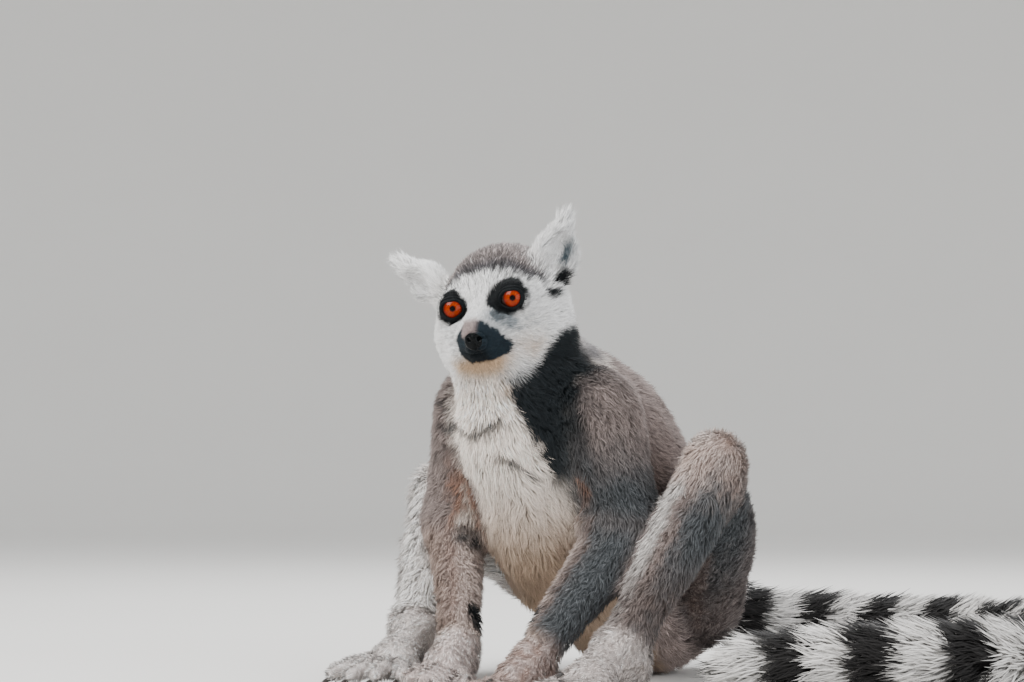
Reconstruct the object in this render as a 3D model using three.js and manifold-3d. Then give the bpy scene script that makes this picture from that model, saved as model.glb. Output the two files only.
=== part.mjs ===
// A ring-tailed lemur at life size, sitting hunched with its hands on the ground between its feet.
// Millimetres, +Z up. The animal faces -Y and its own left side is +X. Before the last step, where the
// model is centred on its footprint, the origin is on the ground under the middle of the pelvis.
//
// Each part of the body is a field: a function that is negative inside the coat and positive outside.
// Fields are built from bones and eggs, blended where flesh flows together. A closed mesh is wrapped
// round each one, from its axis outwards. Limbs, trunk, neck and head are parted by thin cuts.
import * as THREE from "three";
import Module from "manifold-3d";

const wasm = await Module();
wasm.setup();

const GAP = 0.35; // clear space between neighbouring solids
const halfCore = 9; // half the width of the trunk that is left between the limbs
const rayStep = 2.5; // how finely a ray is searched for the edge of a field
const facet = 0.1; // how far a finished face may lie from the cut one it stands for
const digitFacet = 0.34; // the same for hands and feet, which are made of many small pieces
const at = (x, y, z) => new THREE.Vector3(x, y, z);
const LEFT = 1;
const RIGHT = -1;
const sides = [["left", LEFT], ["right", RIGHT]];

// ---------------------------------------------------------------- driving dimensions: the pose

const hip = { left: at(28, 20, 46), right: at(-28, 20, 46) };
const knee = { left: at(100, -54, 129), right: at(-112, -36, 104) };
const ankle = { left: at(73, -109, 25), right: at(-73, -107, 24) };
const shoulder = { left: at(40, -90, 156), right: at(-38, -94, 154) };
const elbow = { left: at(54, -76, 90), right: at(-66, -80, 86) };
const wrist = { left: at(36, -138, 24), right: at(-21, -133, 24) };
const forearmRadius = { left: 23, right: 19.5 }; // at the elbow, to the tips of the coat

const pelvis = at(0, 22, 49);
const loin = at(0, 2, 98);
const chest = at(0, -52, 132);
const withers = at(0, -76, 160);
const neckBase = at(0, -94, 178);
const headCentre = at(-3.8, -120, 214.4);
const headYaw = 15; // degrees, the face turned to the animal's left
const headRoll = 8; // degrees, the crown tipped to the animal's right

const footLength = 98;
const footTurn = { left: 6, right: 21 }; // degrees towards the animal's left
const handLength = 62;
const handTurn = { left: 2, right: 20 };

// ---------------------------------------------------------------- driving dimensions: the head

const eyeRadius = 8.2;
const eyeSpread = 18.4; // half the distance between the eyes' centres
const eyeAt = (side) => at(side * eyeSpread, -24, 2.5);
const noseTip = at(0, -51, -20);
const earRoot = { left: at(31, 4, 16), right: at(-34, 4, 13) };
const earTip = { left: at(46, 6, 49), right: at(-67, 14, 44) };

// ---------------------------------------------------------------- driving dimensions: the tail

const tailRadius = 26; // to the tips of its coat
const tailTipRadius = 22;
const tailLengths = 6;
const tailPath = new THREE.CatmullRomCurve3(
  [
    at(0, 66, 42),
    at(32, 108, 29),
    at(100, 132, tailRadius - 1),
    at(190, 122, tailRadius - 1),
    at(258, 70, tailRadius - 1),
    at(282, 0, tailRadius - 1),
    at(255, -62, tailRadius - 1),
    at(188, -102, tailRadius - 3),
    at(128, -142, 15),
  ],
  false,
  "centripetal",
);

// ---------------------------------------------------------------- fields

const field = (value) => ({ value });

// A tapered bone with round ends, from a to b.
function bone(a, b, ra, rb) {
  const along = b.clone().sub(a);
  const length2 = along.lengthSq();
  const offset = new THREE.Vector3();
  const value = (p) => {
    offset.subVectors(p, a);
    const t = THREE.MathUtils.clamp(offset.dot(along) / length2, 0, 1);
    return offset.addScaledVector(along, -t).length() - (ra + (rb - ra) * t);
  };
  return field(value);
}

// An ellipsoid, with radii across, along and up, tilted nose-down by a pitch in degrees.
function egg(centre, radii, pitch = 0) {
  const c = Math.cos(THREE.MathUtils.degToRad(pitch));
  const s = Math.sin(THREE.MathUtils.degToRad(pitch));
  const value = (p) => {
    const x = (p.x - centre.x) / radii.x;
    const dy = p.y - centre.y;
    const dz = p.z - centre.z;
    const y = (dy * c - dz * s) / radii.y;
    const z = (dy * s + dz * c) / radii.z;
    const k = Math.hypot(x, y, z);
    const gradient = Math.hypot(x / radii.x, y / radii.y, z / radii.z);
    return gradient < 1e-9 ? -Math.min(radii.x, radii.y, radii.z) : (k * (k - 1)) / gradient;
  };
  return field(value);
}

// Flesh that flows together over a depth of softness.
function blend(softness, ...parts) {
  const value = (p) => {
    let d = parts[0].value(p);
    for (let i = 1; i < parts.length; i += 1) {
      const e = parts[i].value(p);
      const h = Math.max(softness - Math.abs(d - e), 0) / softness;
      d = Math.min(d, e) - (h * h * softness) / 4;
    }
    return d;
  };
  return field(value);
}

// The same field in the frame of a parent that is moved and turned by a matrix.
function placed(part, matrix) {
  const inverse = matrix.clone().invert();
  const local = new THREE.Vector3();
  return field((p) => part.value(local.copy(p).applyMatrix4(inverse)));
}

// ---------------------------------------------------------------- meshing

// How far a ray from inside the field runs before it leaves it.
function reachOf(part, origin, direction, outside, farthest) {
  const p = new THREE.Vector3();
  let near = 0;
  let far = farthest;
  for (let t = 0; t < farthest; t += rayStep) {
    if (part.value(p.copy(origin).addScaledVector(direction, t)) > outside) {
      far = t;
      break;
    }
    near = t;
  }
  if (far === farthest) return farthest;
  for (let i = 0; i < 12; i += 1) {
    const t = (near + far) / 2;
    if (part.value(p.copy(origin).addScaledVector(direction, t)) > outside) far = t;
    else near = t;
  }
  return near;
}

// A closed mesh round a field. Rings of rays leave the axis squarely along its length and fan out
// round its two ends, and each ray's vertex lies where the ray leaves the field.
function wrap(part, axis, rows) {
  const { sides: count, rings, caps, outside = 0, farthest = 120, hint = at(1, 0, 0) } = rows;
  const curve = axis instanceof THREE.Curve ? axis : new THREE.LineCurve3(...axis);
  const positions = [];
  const push = (origin, direction) => {
    const reach = reachOf(part, origin, direction, outside, farthest);
    positions.push(...origin.clone().addScaledVector(direction, reach));
  };
  const last = caps + rings + caps; // the number of rings of vertices between the two poles
  const poleStart = curve.getTangentAt(0).negate();
  const poleEnd = curve.getTangentAt(1);
  push(curve.getPointAt(0), poleStart);
  for (let r = 0; r < last; r += 1) {
    const along = THREE.MathUtils.clamp((r - caps) / (rings - 1), 0, 1);
    const origin = curve.getPointAt(along);
    const tangent = curve.getTangentAt(along);
    const before = r < caps ? (caps - r) / (caps + 1) : 0;
    const after = r >= caps + rings ? (r - caps - rings + 1) / (caps + 1) : 0;
    const tilt = ((after - before) * Math.PI) / 2;
    const across = new THREE.Vector3().crossVectors(tangent, hint).normalize();
    const over = new THREE.Vector3().crossVectors(across, tangent);
    for (let i = 0; i < count; i += 1) {
      const angle = (i / count) * 2 * Math.PI;
      const direction = across.clone().multiplyScalar(Math.cos(angle));
      direction.addScaledVector(over, Math.sin(angle));
      direction.multiplyScalar(Math.cos(tilt)).addScaledVector(tangent, Math.sin(tilt));
      push(origin, direction);
    }
  }
  push(curve.getPointAt(1), poleEnd);
  const faces = [];
  const vertex = (r, i) => 1 + r * count + (i % count);
  const pole = vertex(last, 0);
  for (let i = 0; i < count; i += 1) {
    faces.push(0, vertex(0, i), vertex(0, i + 1));
    faces.push(pole, vertex(last - 1, i + 1), vertex(last - 1, i));
  }
  for (let r = 0; r < last - 1; r += 1)
    for (let i = 0; i < count; i += 1) {
      const [a, b] = [vertex(r, i), vertex(r, i + 1)];
      const [c, d] = [vertex(r + 1, i), vertex(r + 1, i + 1)];
      faces.push(a, c, b, b, c, d);
    }
  return facingOut(positions, faces);
}

function facingOut(positions, faces) {
  const made = solidFrom(positions, faces);
  return made.volume() < 0 ? solidFrom(positions, faces.reverse()) : made;
}

function solidFrom(positions, faces) {
  const mesh = new wasm.Mesh({
    numProp: 3,
    vertProperties: new Float32Array(positions),
    triVerts: new Uint32Array(faces),
  });
  return new wasm.Manifold(mesh);
}

function largest(solid) {
  return solid.decompose().sort((a, b) => b.volume() - a.volume())[0];
}

// Keeps what lies on the side of a plane that its normal points to, half a gap clear of it.
function keep(solid, point, normal) {
  const unit = normal.clone().normalize();
  return solid.trimByPlane(unit.toArray(), unit.dot(point) + GAP / 2);
}

const onGround = (solid) => solid.trimByPlane([0, 0, 1], 0);

// ---------------------------------------------------------------- head

const headMatrix = new THREE.Matrix4()
  .makeRotationZ(THREE.MathUtils.degToRad(headYaw))
  .multiply(new THREE.Matrix4().makeRotationY(THREE.MathUtils.degToRad(-headRoll)))
  .setPosition(headCentre);
const inHead = (p) => p.clone().applyMatrix4(headMatrix);

function headField() {
  const cranium = egg(at(0, 12, 8), at(34.5, 33, 34));
  const forehead = egg(at(0, -6, 10), at(23, 16, 22));
  const cheeks = sides.map(([, s]) => egg(at(s * 24.5, 4, -10), at(17.5, 22, 20)));
  const brows = sides.map(([, s]) => egg(eyeAt(s).add(at(s, 8, 4)), at(12, 10, 9)));
  const underEyes = sides.map(([, s]) => egg(eyeAt(s).add(at(s, 7, -7)), at(12, 10, 9)));
  const snout = bone(at(0, -18, -9), at(0, -41, -17.5), 15, 10);
  const bridge = bone(at(0, -20, 2), at(0, -43, -13), 8, 5.5);
  const lips = egg(at(0, -33, -20), at(15, 14, 10));
  const noseButton = egg(noseTip.clone().add(at(0, 5, 1.5)), at(7, 5.5, 5.5));
  const jaw = bone(at(0, -8, -18), at(0, -30, -26.5), 17, 8.5);
  const skull = blend(12, cranium, forehead, ...cheeks);
  const orbits = blend(6, skull, ...brows, ...underEyes);
  return blend(5, blend(8, orbits, snout, jaw), lips, bridge, noseButton);
}

// A cupped ear that ends in a pointed tuft and opens forwards and outwards.
function earShape(name, side) {
  const root = earRoot[name];
  const along = earTip[name].clone().sub(root);
  const length = along.length();
  const up = along.clone().normalize();
  const open = at(side * 0.62, -0.75, -0.1);
  open.addScaledVector(up, -open.dot(up)).normalize();
  const across = new THREE.Vector3().crossVectors(up, open);
  const frame = new THREE.Matrix4().makeBasis(across, open.clone().negate(), up).setPosition(root);
  frame.premultiply(headMatrix);
  const inEar = (p) => p.applyMatrix4(frame);
  const shell = blend(
    8,
    egg(at(0, 0, length * 0.2), at(14.5, 9, 17)),
    bone(at(0, 1, length * 0.4), at(0, 0, length - 2), 9, 2.2),
  );
  const cup = egg(at(0, -9, length * 0.39), at(9.5, 11.5, 14));
  const hint = at(0, 1, 0);
  return wrap(placed(shell, frame), [inEar(at(0, 0, 0)), inEar(at(0, 0, length * 0.85))], {
    sides: 12,
    rings: 6,
    caps: 2,
    hint,
  }).subtract(
    wrap(placed(cup, frame), [inEar(at(0, -9, length * 0.2)), inEar(at(0, -9, length * 0.48))], {
      sides: 10,
      rings: 3,
      caps: 2,
      hint,
    }),
  );
}

// ---------------------------------------------------------------- trunk and neck

function trunkField() {
  const rump = egg(pelvis, at(56, 58, 52), -20);
  const belly = egg(loin.clone().add(at(0, -4, -8)), at(58, 64, 58), -45);
  const ribs = egg(chest.clone().add(at(0, 11, 0)), at(57, 62, 60), -45);
  const scapulas = egg(withers.clone().add(at(0, 4, -6)), at(49, 46, 37), -40);
  const brisket = egg(at(0, -110, 128), at(33, 24, 38), -20);
  const paunch = egg(at(-5, -52, 76), at(49, 46, 43), -8);
  return blend(24, rump, belly, ribs, scapulas, brisket, paunch);
}

function neckField() {
  const nape = bone(neckBase, headCentre.clone().add(at(0, 8, -12)), 37, 32);
  const throat = bone(at(0, -112, 154), headCentre.clone().add(at(0, -12, -22)), 32, 24);
  return blend(14, nape, throat);
}

// ---------------------------------------------------------------- limbs

const heading = (degrees) =>
  at(Math.sin(THREE.MathUtils.degToRad(degrees)), -Math.cos(THREE.MathUtils.degToRad(degrees)), 0);

// One digit, bent down at its middle joint to lie on the ground.
function digit(start, direction, length, thickness) {
  const middle = start.clone().addScaledVector(direction, length * 0.5).setZ(thickness + 2.4);
  const end = start.clone().addScaledVector(direction, length).setZ(thickness - 0.7);
  const base = bone(start, middle, thickness + 0.9, thickness + 0.2);
  const shape = blend(2, base, bone(middle, end, thickness, thickness));
  const axis = new THREE.QuadraticBezierCurve3(start, middle, end);
  return wrap(shape, axis, { sides: 6, rings: 3, caps: 1, farthest: 14 });
}

// Four digits that fan out from the end of a palm or sole, the outer ones shorter.
function digits(root, turn, { count, fan, start, length, thickness }) {
  const made = [];
  for (let i = 0; i < count; i += 1) {
    const place = i / (count - 1) - 0.5;
    const direction = heading(turn + place * fan);
    const knuckle = root.clone().addScaledVector(direction, start).setZ(thickness + 4);
    made.push(digit(knuckle, direction, length * (1 - Math.abs(place) * 0.28), thickness));
  }
  return made;
}

const joined = (first, ...rest) => rest.reduce((whole, next) => whole.add(next), first);

function buildHandShape(name, side) {
  const root = wrist[name];
  const turn = handTurn[name];
  const ahead = heading(turn);
  const palmEnd = root.clone().addScaledVector(ahead, 24).setZ(8.5);
  const heel = root.clone().addScaledVector(ahead, -4).setZ(9);
  const knuckles = egg(palmEnd, at(13.5, 11, 8.8));
  const palm = blend(8, bone(root, palmEnd, 13, 9), bone(heel, palmEnd, 9.5, 9), knuckles);
  const thumbRoot = root.clone().addScaledVector(ahead, 8).setZ(8);
  return joined(
    wrap(palm, [heel.clone().setZ(11), palmEnd], { sides: 10, rings: 4, caps: 2, farthest: 30 }),
    digit(thumbRoot, heading(turn - side * 42), 24, 4.2),
    ...digits(root, turn, { count: 4, fan: 30, start: 25, length: handLength - 25, thickness: 4 }),
  );
}

function buildFootShape(name, side) {
  const root = ankle[name];
  const turn = footTurn[name];
  const ahead = heading(turn);
  const heel = root.clone().addScaledVector(ahead, -7).setZ(12);
  const ball = root.clone().addScaledVector(ahead, footLength * 0.42).setZ(9);
  const sole = blend(10, bone(root, heel, 17, 12.5), bone(root, ball, 15, 10), egg(ball, at(15.5, 14, 9.8)));
  const bigToeRoot = root.clone().addScaledVector(ahead, 20).setZ(9);
  return joined(
    wrap(sole, [heel.clone().setZ(14), ball], { sides: 10, rings: 5, caps: 2, farthest: 40 }),
    digit(bigToeRoot, heading(turn - side * 23), 35, 5.6),
    ...digits(root, turn + side * 4, {
      count: 4,
      fan: 27,
      start: footLength * 0.5,
      length: footLength * 0.44,
      thickness: 4.8,
    }),
  );
}

function armField(name, side) {
  const s = shoulder[name];
  const e = elbow[name];
  const w = wrist[name];
  const upper = blend(16, bone(s, e, 27, 22), egg(s.clone().add(at(side * -2, 8, -8)), at(23, 34, 34)));
  const fore = bone(e, w, forearmRadius[name], 13);
  return blend(12, upper, fore);
}

function legField(name, side) {
  const h = hip[name].clone().add(at(side * 4, 6, 0));
  const k = knee[name];
  const a = ankle[name];
  const haunch = bone(h, h.clone().lerp(k, 0.55).add(at(0, 4, -2)), 34, 28);
  const thigh = bone(h.clone().lerp(k, 0.4), k, 30, 18);
  const calfTop = k.clone().lerp(a, 0.12).add(at(0, 6, 0));
  const calf = bone(calfTop, k.clone().lerp(a, 0.55).add(at(0, 3, 0)), 20, 19);
  const shin = bone(k, a, 18, 15);
  return blend(9, blend(14, haunch, thigh), blend(8, shin, calf));
}

// ---------------------------------------------------------------- assembly

const flesh = { back: 0x85776c, limb: 0x7d7a78, pale: 0xd9d0c4, face: 0xe6e2dc, dark: 0x2a292b };
const surface = (color, roughness) => new THREE.MeshStandardMaterial({ color, roughness, metalness: 0 });
const materials = {
  back: surface(flesh.back, 0.85),
  limb: surface(flesh.limb, 0.85),
  pale: surface(flesh.pale, 0.85),
  face: surface(flesh.face, 0.85),
  dark: surface(flesh.dark, 0.8),
  iris: surface(0xc8501a, 0.08),
};

const lemur = new THREE.Group();

function addSolid(name, solid, material, closeness = facet) {
  const { numProp, numVert, vertProperties, triVerts } = solid.simplify(closeness).getMesh();
  const vertices = new Float32Array(numVert * 3);
  for (let i = 0; i < numVert; i += 1)
    vertices.set(vertProperties.subarray(i * numProp, i * numProp + 3), i * 3);
  const geometry = new THREE.BufferGeometry()
    .setAttribute("position", new THREE.BufferAttribute(vertices, 3))
    .setIndex(new THREE.BufferAttribute(triVerts, 1));
  geometry.computeVertexNormals();
  const mesh = new THREE.Mesh(geometry, material);
  mesh.name = name;
  lemur.add(mesh);
}

// The bisecting plane of a bent joint, facing the far bone.
function jointPlane(before, joint, after) {
  return joint.clone().sub(before).normalize().add(after.clone().sub(joint).normalize());
}

const cutters = [];

// The two bones of a limb, each wrapped along its own axis, parted at the joint and above the foot or
// hand. The cutter is the room that the whole limb needs in its neighbours.
function limbPieces(shape, side, [a, b, c], endCut, counts) {
  const along = c.clone().sub(b).normalize();
  const bend = jointPlane(a, b, c);
  const outwards = at(side, 0, 0);
  const upper = wrap(shape, [a, b], counts.upper);
  const lower = wrap(shape, [b, c], counts.lower);
  const room = wrap(shape, [a, b], { ...counts.upper, outside: GAP });
  return {
    upper: keep(keep(upper, b, bend.clone().negate()), at(side * halfCore, 0, 0), outwards),
    lower: keep(keep(lower, b, bend), endCut, along.negate()),
    cutter: keep(room, at(side * (halfCore - GAP), 0, 0), outwards).add(
      wrap(shape, [b, c], { ...counts.lower, outside: GAP }),
    ),
  };
}

const clearOf = (solid, others) => others.reduce((kept, other) => kept.subtract(other), solid);

function buildLeg([name, side]) {
  const joints = [hip[name].clone().add(at(side * 4, 6, 0)), knee[name], ankle[name]];
  const along = ankle[name].clone().sub(knee[name]).normalize();
  const ankleCut = ankle[name].clone().addScaledVector(along, -7);
  const leg = limbPieces(legField(name, side), side, joints, ankleCut, {
    upper: { sides: 12, rings: 6, caps: 2 },
    lower: { sides: 11, rings: 6, caps: 2 },
  });
  const foot = buildFootShape(name, side);
  addSolid(`thigh_${name}`, largest(onGround(leg.upper)), materials.limb);
  addSolid(`shin_${name}`, largest(onGround(leg.lower)), materials.limb);
  addSolid(`foot_${name}`, largest(onGround(keep(foot, ankleCut, along))), materials.pale, digitFacet);
  cutters.push(leg.cutter);
}

function buildArm([name, side]) {
  const joints = [shoulder[name], elbow[name], wrist[name]];
  const along = wrist[name].clone().sub(elbow[name]).normalize();
  const wristCut = wrist[name].clone().addScaledVector(along, -5);
  const arm = limbPieces(armField(name, side), side, joints, wristCut, {
    upper: { sides: 12, rings: 5, caps: 2 },
    lower: { sides: 11, rings: 5, caps: 2 },
  });
  const hand = buildHandShape(name, side);
  addSolid(`upper_arm_${name}`, largest(clearOf(arm.upper, cutters)), materials.limb);
  addSolid(`forearm_${name}`, largest(clearOf(arm.lower, cutters)), materials.limb);
  addSolid(`hand_${name}`, largest(onGround(keep(hand, wristCut, along))), materials.pale, digitFacet);
  return arm.cutter;
}

sides.forEach(buildLeg);
cutters.push(...sides.map(buildArm));

const torso = blend(18, trunkField(), neckField());
const skull = placed(headField(), headMatrix);
const body = blend(14, torso, skull);
const upperBody = blend(14, neckField(), skull);
const spine = new THREE.CatmullRomCurve3([pelvis, loin, chest, withers, neckBase]);
const trunkRings = { sides: 17, rings: 9, caps: 3 };
const neckNormal = at(-0.05, -0.45, 0.89);
const neckCut = neckBase.clone().add(at(0, 0, -6));
const throatPoint = inHead(at(0, 8, -26));
const throatNormal = at(0, -0.34, 0.94);

function buildTrunk() {
  const whole = wrap(torso, spine, trunkRings);
  const belowNeck = keep(whole, neckCut, neckNormal.clone().negate());
  addSolid("trunk", largest(onGround(clearOf(belowNeck, cutters))), materials.back);
}

function buildNeck() {
  const axis = [neckBase.clone().lerp(headCentre, -0.4), headCentre];
  const block = wrap(body, axis, { sides: 20, rings: 6, caps: 2, farthest: 70 });
  const neck = keep(keep(block, neckCut, neckNormal), throatPoint, throatNormal.clone().negate());
  addSolid("neck", largest(clearOf(neck, cutters)), materials.dark);
}

function addEye([name, side]) {
  const mesh = new THREE.Mesh(new THREE.SphereGeometry(eyeRadius, 12, 8), materials.iris);
  mesh.name = `eye_${name}`;
  mesh.position.copy(inHead(eyeAt(side)));
  lemur.add(mesh);
}

// The room that an eye needs in the head.
function socket(side) {
  const centre = inHead(eyeAt(side));
  const ball = bone(centre, centre.clone().add(at(0, 0, 0.01)), eyeRadius, eyeRadius);
  return wrap(ball, [centre.clone().add(at(0, 0, -1)), centre.clone().add(at(0, 0, 1))], {
    sides: 12,
    rings: 2,
    caps: 3,
    outside: GAP + 0.3,
  });
}

const headAxis = [inHead(at(0, 12, 4)), inHead(at(0, -42, -18.5))];
const headRings = { sides: 22, rings: 11, caps: 3, farthest: 54 };

function buildHead() {
  const block = wrap(upperBody, headAxis, headRings);
  const head = keep(block, throatPoint, throatNormal);
  addSolid("head", largest(clearOf(head, sides.map(([, side]) => socket(side)))), materials.face);
  sides.forEach(addEye);
}

function buildEar([name, side]) {
  const ear = earShape(name, side).subtract(wrap(upperBody, headAxis, { ...headRings, outside: GAP }));
  addSolid(`ear_${name}`, largest(ear), materials.face);
}

// A closed tube along a stretch of the tail, flat where it lies on the ground.
function tailLength(index) {
  const rings = 5;
  const ringSides = 12;
  const length = tailPath.getLength();
  const start = index / tailLengths;
  const end = (index + 1) / tailLengths - (index < tailLengths - 1 ? GAP / length : 0);
  const positions = [];
  const up = at(0, 0, 1);
  for (let r = 0; r <= rings; r += 1) {
    const t = start + ((end - start) * r) / rings;
    const centre = tailPath.getPointAt(t);
    const along = tailPath.getTangentAt(t);
    const across = new THREE.Vector3().crossVectors(along, up).normalize();
    const over = new THREE.Vector3().crossVectors(across, along);
    const taper = 1 - THREE.MathUtils.smoothstep(t, 0.93, 1) * 0.75;
    const slimming = THREE.MathUtils.smoothstep(t, 0.6, 1);
    const radius = THREE.MathUtils.lerp(tailRadius, tailTipRadius, slimming) * taper;
    for (let s = 0; s < ringSides; s += 1) {
      const angle = (s / ringSides) * 2 * Math.PI;
      const q = centre.clone();
      q.addScaledVector(across, Math.cos(angle) * radius).addScaledVector(over, Math.sin(angle) * radius);
      positions.push(q.x, q.y, q.z);
    }
  }
  const faces = [];
  const ringVertex = (r, s) => r * ringSides + (s % ringSides);
  for (let r = 0; r < rings; r += 1)
    for (let s = 0; s < ringSides; s += 1) {
      const [a, b] = [ringVertex(r, s), ringVertex(r, s + 1)];
      const [c, d] = [ringVertex(r + 1, s), ringVertex(r + 1, s + 1)];
      faces.push(a, c, b, b, c, d);
    }
  for (let s = 1; s < ringSides - 1; s += 1) {
    faces.push(ringVertex(0, 0), ringVertex(0, s), ringVertex(0, s + 1));
    faces.push(ringVertex(rings, 0), ringVertex(rings, s + 1), ringVertex(rings, s));
  }
  return onGround(facingOut(positions, faces));
}

function buildTail() {
  const rump = wrap(torso, spine, { ...trunkRings, outside: GAP });
  for (let i = 0; i < tailLengths; i += 1) {
    const solid = i === 0 ? largest(clearOf(tailLength(i), [...cutters, rump])) : tailLength(i);
    addSolid(`tail_${i + 1}`, solid, i % 2 ? materials.pale : materials.dark);
  }
}

buildTrunk();
buildNeck();
buildHead();
sides.forEach(buildEar);
buildTail();

const footprint = new THREE.Box3().setFromObject(lemur);
const middle = footprint.getCenter(at(0, 0, 0));
lemur.position.set(-middle.x, -middle.y, -footprint.min.z);

export default lemur;
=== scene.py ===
"""A ring-tailed lemur at life size, sitting with its hands on the ground between its feet.

Laid out as an add-on: settings, then how each thing is made, then one operator for each, and a
panel that lists them. The solids of the packed frame say where everything is. One skin is drawn
tight inside them, and the coat grows back out of it to their surface.
"""
import math

import bmesh
import bpy
import numpy as np
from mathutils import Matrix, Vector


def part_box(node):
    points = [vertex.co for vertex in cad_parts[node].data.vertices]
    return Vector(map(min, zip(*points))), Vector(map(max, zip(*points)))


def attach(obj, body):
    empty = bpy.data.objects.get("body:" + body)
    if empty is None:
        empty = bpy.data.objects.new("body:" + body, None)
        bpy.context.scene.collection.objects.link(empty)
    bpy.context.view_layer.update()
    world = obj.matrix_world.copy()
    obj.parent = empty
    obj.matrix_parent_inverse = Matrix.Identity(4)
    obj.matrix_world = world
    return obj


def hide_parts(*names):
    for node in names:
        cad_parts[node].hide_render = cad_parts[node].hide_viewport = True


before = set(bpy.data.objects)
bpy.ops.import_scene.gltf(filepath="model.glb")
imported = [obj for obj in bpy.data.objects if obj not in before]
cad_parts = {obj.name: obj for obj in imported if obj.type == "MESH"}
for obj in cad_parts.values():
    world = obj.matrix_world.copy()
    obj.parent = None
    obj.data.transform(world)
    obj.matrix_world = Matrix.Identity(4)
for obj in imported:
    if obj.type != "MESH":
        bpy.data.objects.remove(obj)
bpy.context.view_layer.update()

import openvdb as vdb
from bpy.props import FloatProperty, FloatVectorProperty, IntProperty, PointerProperty
from bpy.types import Operator, Panel, PropertyGroup
from mathutils import Matrix, Vector
from mathutils.bvhtree import BVHTree
from mathutils.kdtree import KDTree

bl_info = {
    "name": "Ring-tailed lemur",
    "version": (1, 0, 0),
    "blender": (4, 5, 0),
    "location": "View3D > Sidebar > Lemur",
    "description": "The skin, coat, eyes and nails of a life-size lemur, and its studio",
    "category": "Object",
}

MM = 0.001
SIDES = (("left", 1.0), ("right", -1.0))
FLESH = sorted(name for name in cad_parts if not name.startswith("eye_"))
TAIL = sorted(name for name in FLESH if name.startswith("tail_"))


# ------------------------------------------------------------------ settings


def length(name, text, millimetres):
    """A setting that is a length."""
    return FloatProperty(name=name, description=text, default=millimetres * MM, min=0.0,
                         precision=4, unit="LENGTH")


def share(name, text, value):
    """A setting from nought to one."""
    return FloatProperty(name=name, description=text, default=value, min=0.0, max=1.0,
                         subtype="FACTOR")


def angle(name, text, degrees):
    """A setting that is an angle."""
    return FloatProperty(name=name, description=text, default=math.radians(degrees),
                         subtype="ANGLE")


def colour(name, text, *rgb):
    """A setting that is a colour."""
    return FloatVectorProperty(name=name, description=text, default=rgb, size=3, min=0.0, max=1.0,
                               subtype="COLOR")


class LemurSkin(PropertyGroup):
    """Sizes of the one skin under the coat."""

    voxel: length("Cell", "Size of the cells that the skin is drawn from", 1.8)
    join: length("Join", "How far the solids grow before they are made one", 0.6)
    lid_opening: length("Lid opening", "Radius of the opening between the lids", 5.35)
    lid_thickness: length("Lid thickness", "How far the lids stand off the eyeball", 0.8)
    smoothing: IntProperty(name="Smoothing", description="Rounds of smoothing over the body",
                           default=14, min=0, max=60)


class LemurColours(PropertyGroup):
    """Colours of the coat, skin and eyes."""

    white: colour("White", "Forehead, cheeks and ears", 0.90, 0.895, 0.89)
    cap: colour("Cap", "Top of the head, back to the nape", 0.18, 0.155, 0.15)
    black: colour("Black", "Round the eyes", 0.0042, 0.0056, 0.0068)
    muzzle: colour("Muzzle", "Muzzle and lips", 0.012, 0.021, 0.029)
    bridge: colour("Bridge", "Paler top of the muzzle", 0.34, 0.27, 0.26)
    # inside the ears this blue-grey is painted shade
    haze: colour("Haze", "Blue-grey under the eyes and in the ears", 0.07, 0.105, 0.13)
    collar: colour("Collar", "Sides of the neck and the front of the shoulders", 0.011, 0.0145, 0.017)
    nape: colour("Nape", "Back of the neck", 0.19, 0.18, 0.185)
    back: colour("Back", "Back and flanks", 0.255, 0.205, 0.19)
    outer_limb: colour("Outer limb", "Outside of the arms and legs", 0.069, 0.075, 0.080)
    inner_arm: colour("Inner arm", "Inside of the arms", 0.50, 0.405, 0.365)
    inner_leg: colour("Inner leg", "Inside and front of the legs", 0.88, 0.84, 0.81)
    rust: colour("Rust", "Rusty edges of the arms and knees", 0.30, 0.125, 0.062)
    chest: colour("Chest", "Throat, chest and upper belly", 0.96, 0.86, 0.775)
    belly: colour("Belly", "Chin and lower belly", 0.48, 0.34, 0.235)
    hand: colour("Hand", "Hands and feet", 0.64, 0.55, 0.52)
    tail_light: colour("Tail, light", "Light rings of the tail", 0.70, 0.68, 0.66)
    tail_dark: colour("Tail, dark", "Dark rings and tip of the tail", 0.016, 0.015, 0.015)
    iris: colour("Iris", "Iris of the eyes", 0.23, 0.017, 0.001)
    nail: colour("Nail", "Nails of the hands and feet", 0.035, 0.03, 0.028)


def coat_group(label, text, depth, hair, width, lift, spacing, scatter, locks):
    """Settings of the coat over one stretch of the body."""
    notes = {
        "depth": length("Depth", "How far the skin lies under the outline", depth),
        "hair": length("Hair", "Length of a tuft", hair),
        "width": length("Width", "Width of a tuft at its widest", width),
        "lift": angle("Lift", "How steeply a tuft leaves the skin", lift),
        "spacing": length("Spacing", "Distance from one tuft to the next", spacing),
        "scatter": share("Scatter", "How far tufts stray from the lie of the coat", scatter),
        "locks": share("Locks", "How far the tips draw together in locks", locks),
    }
    return type("Lemur" + label + "Coat", (PropertyGroup,), {"__doc__": text,
                                                             "__annotations__": notes})


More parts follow.
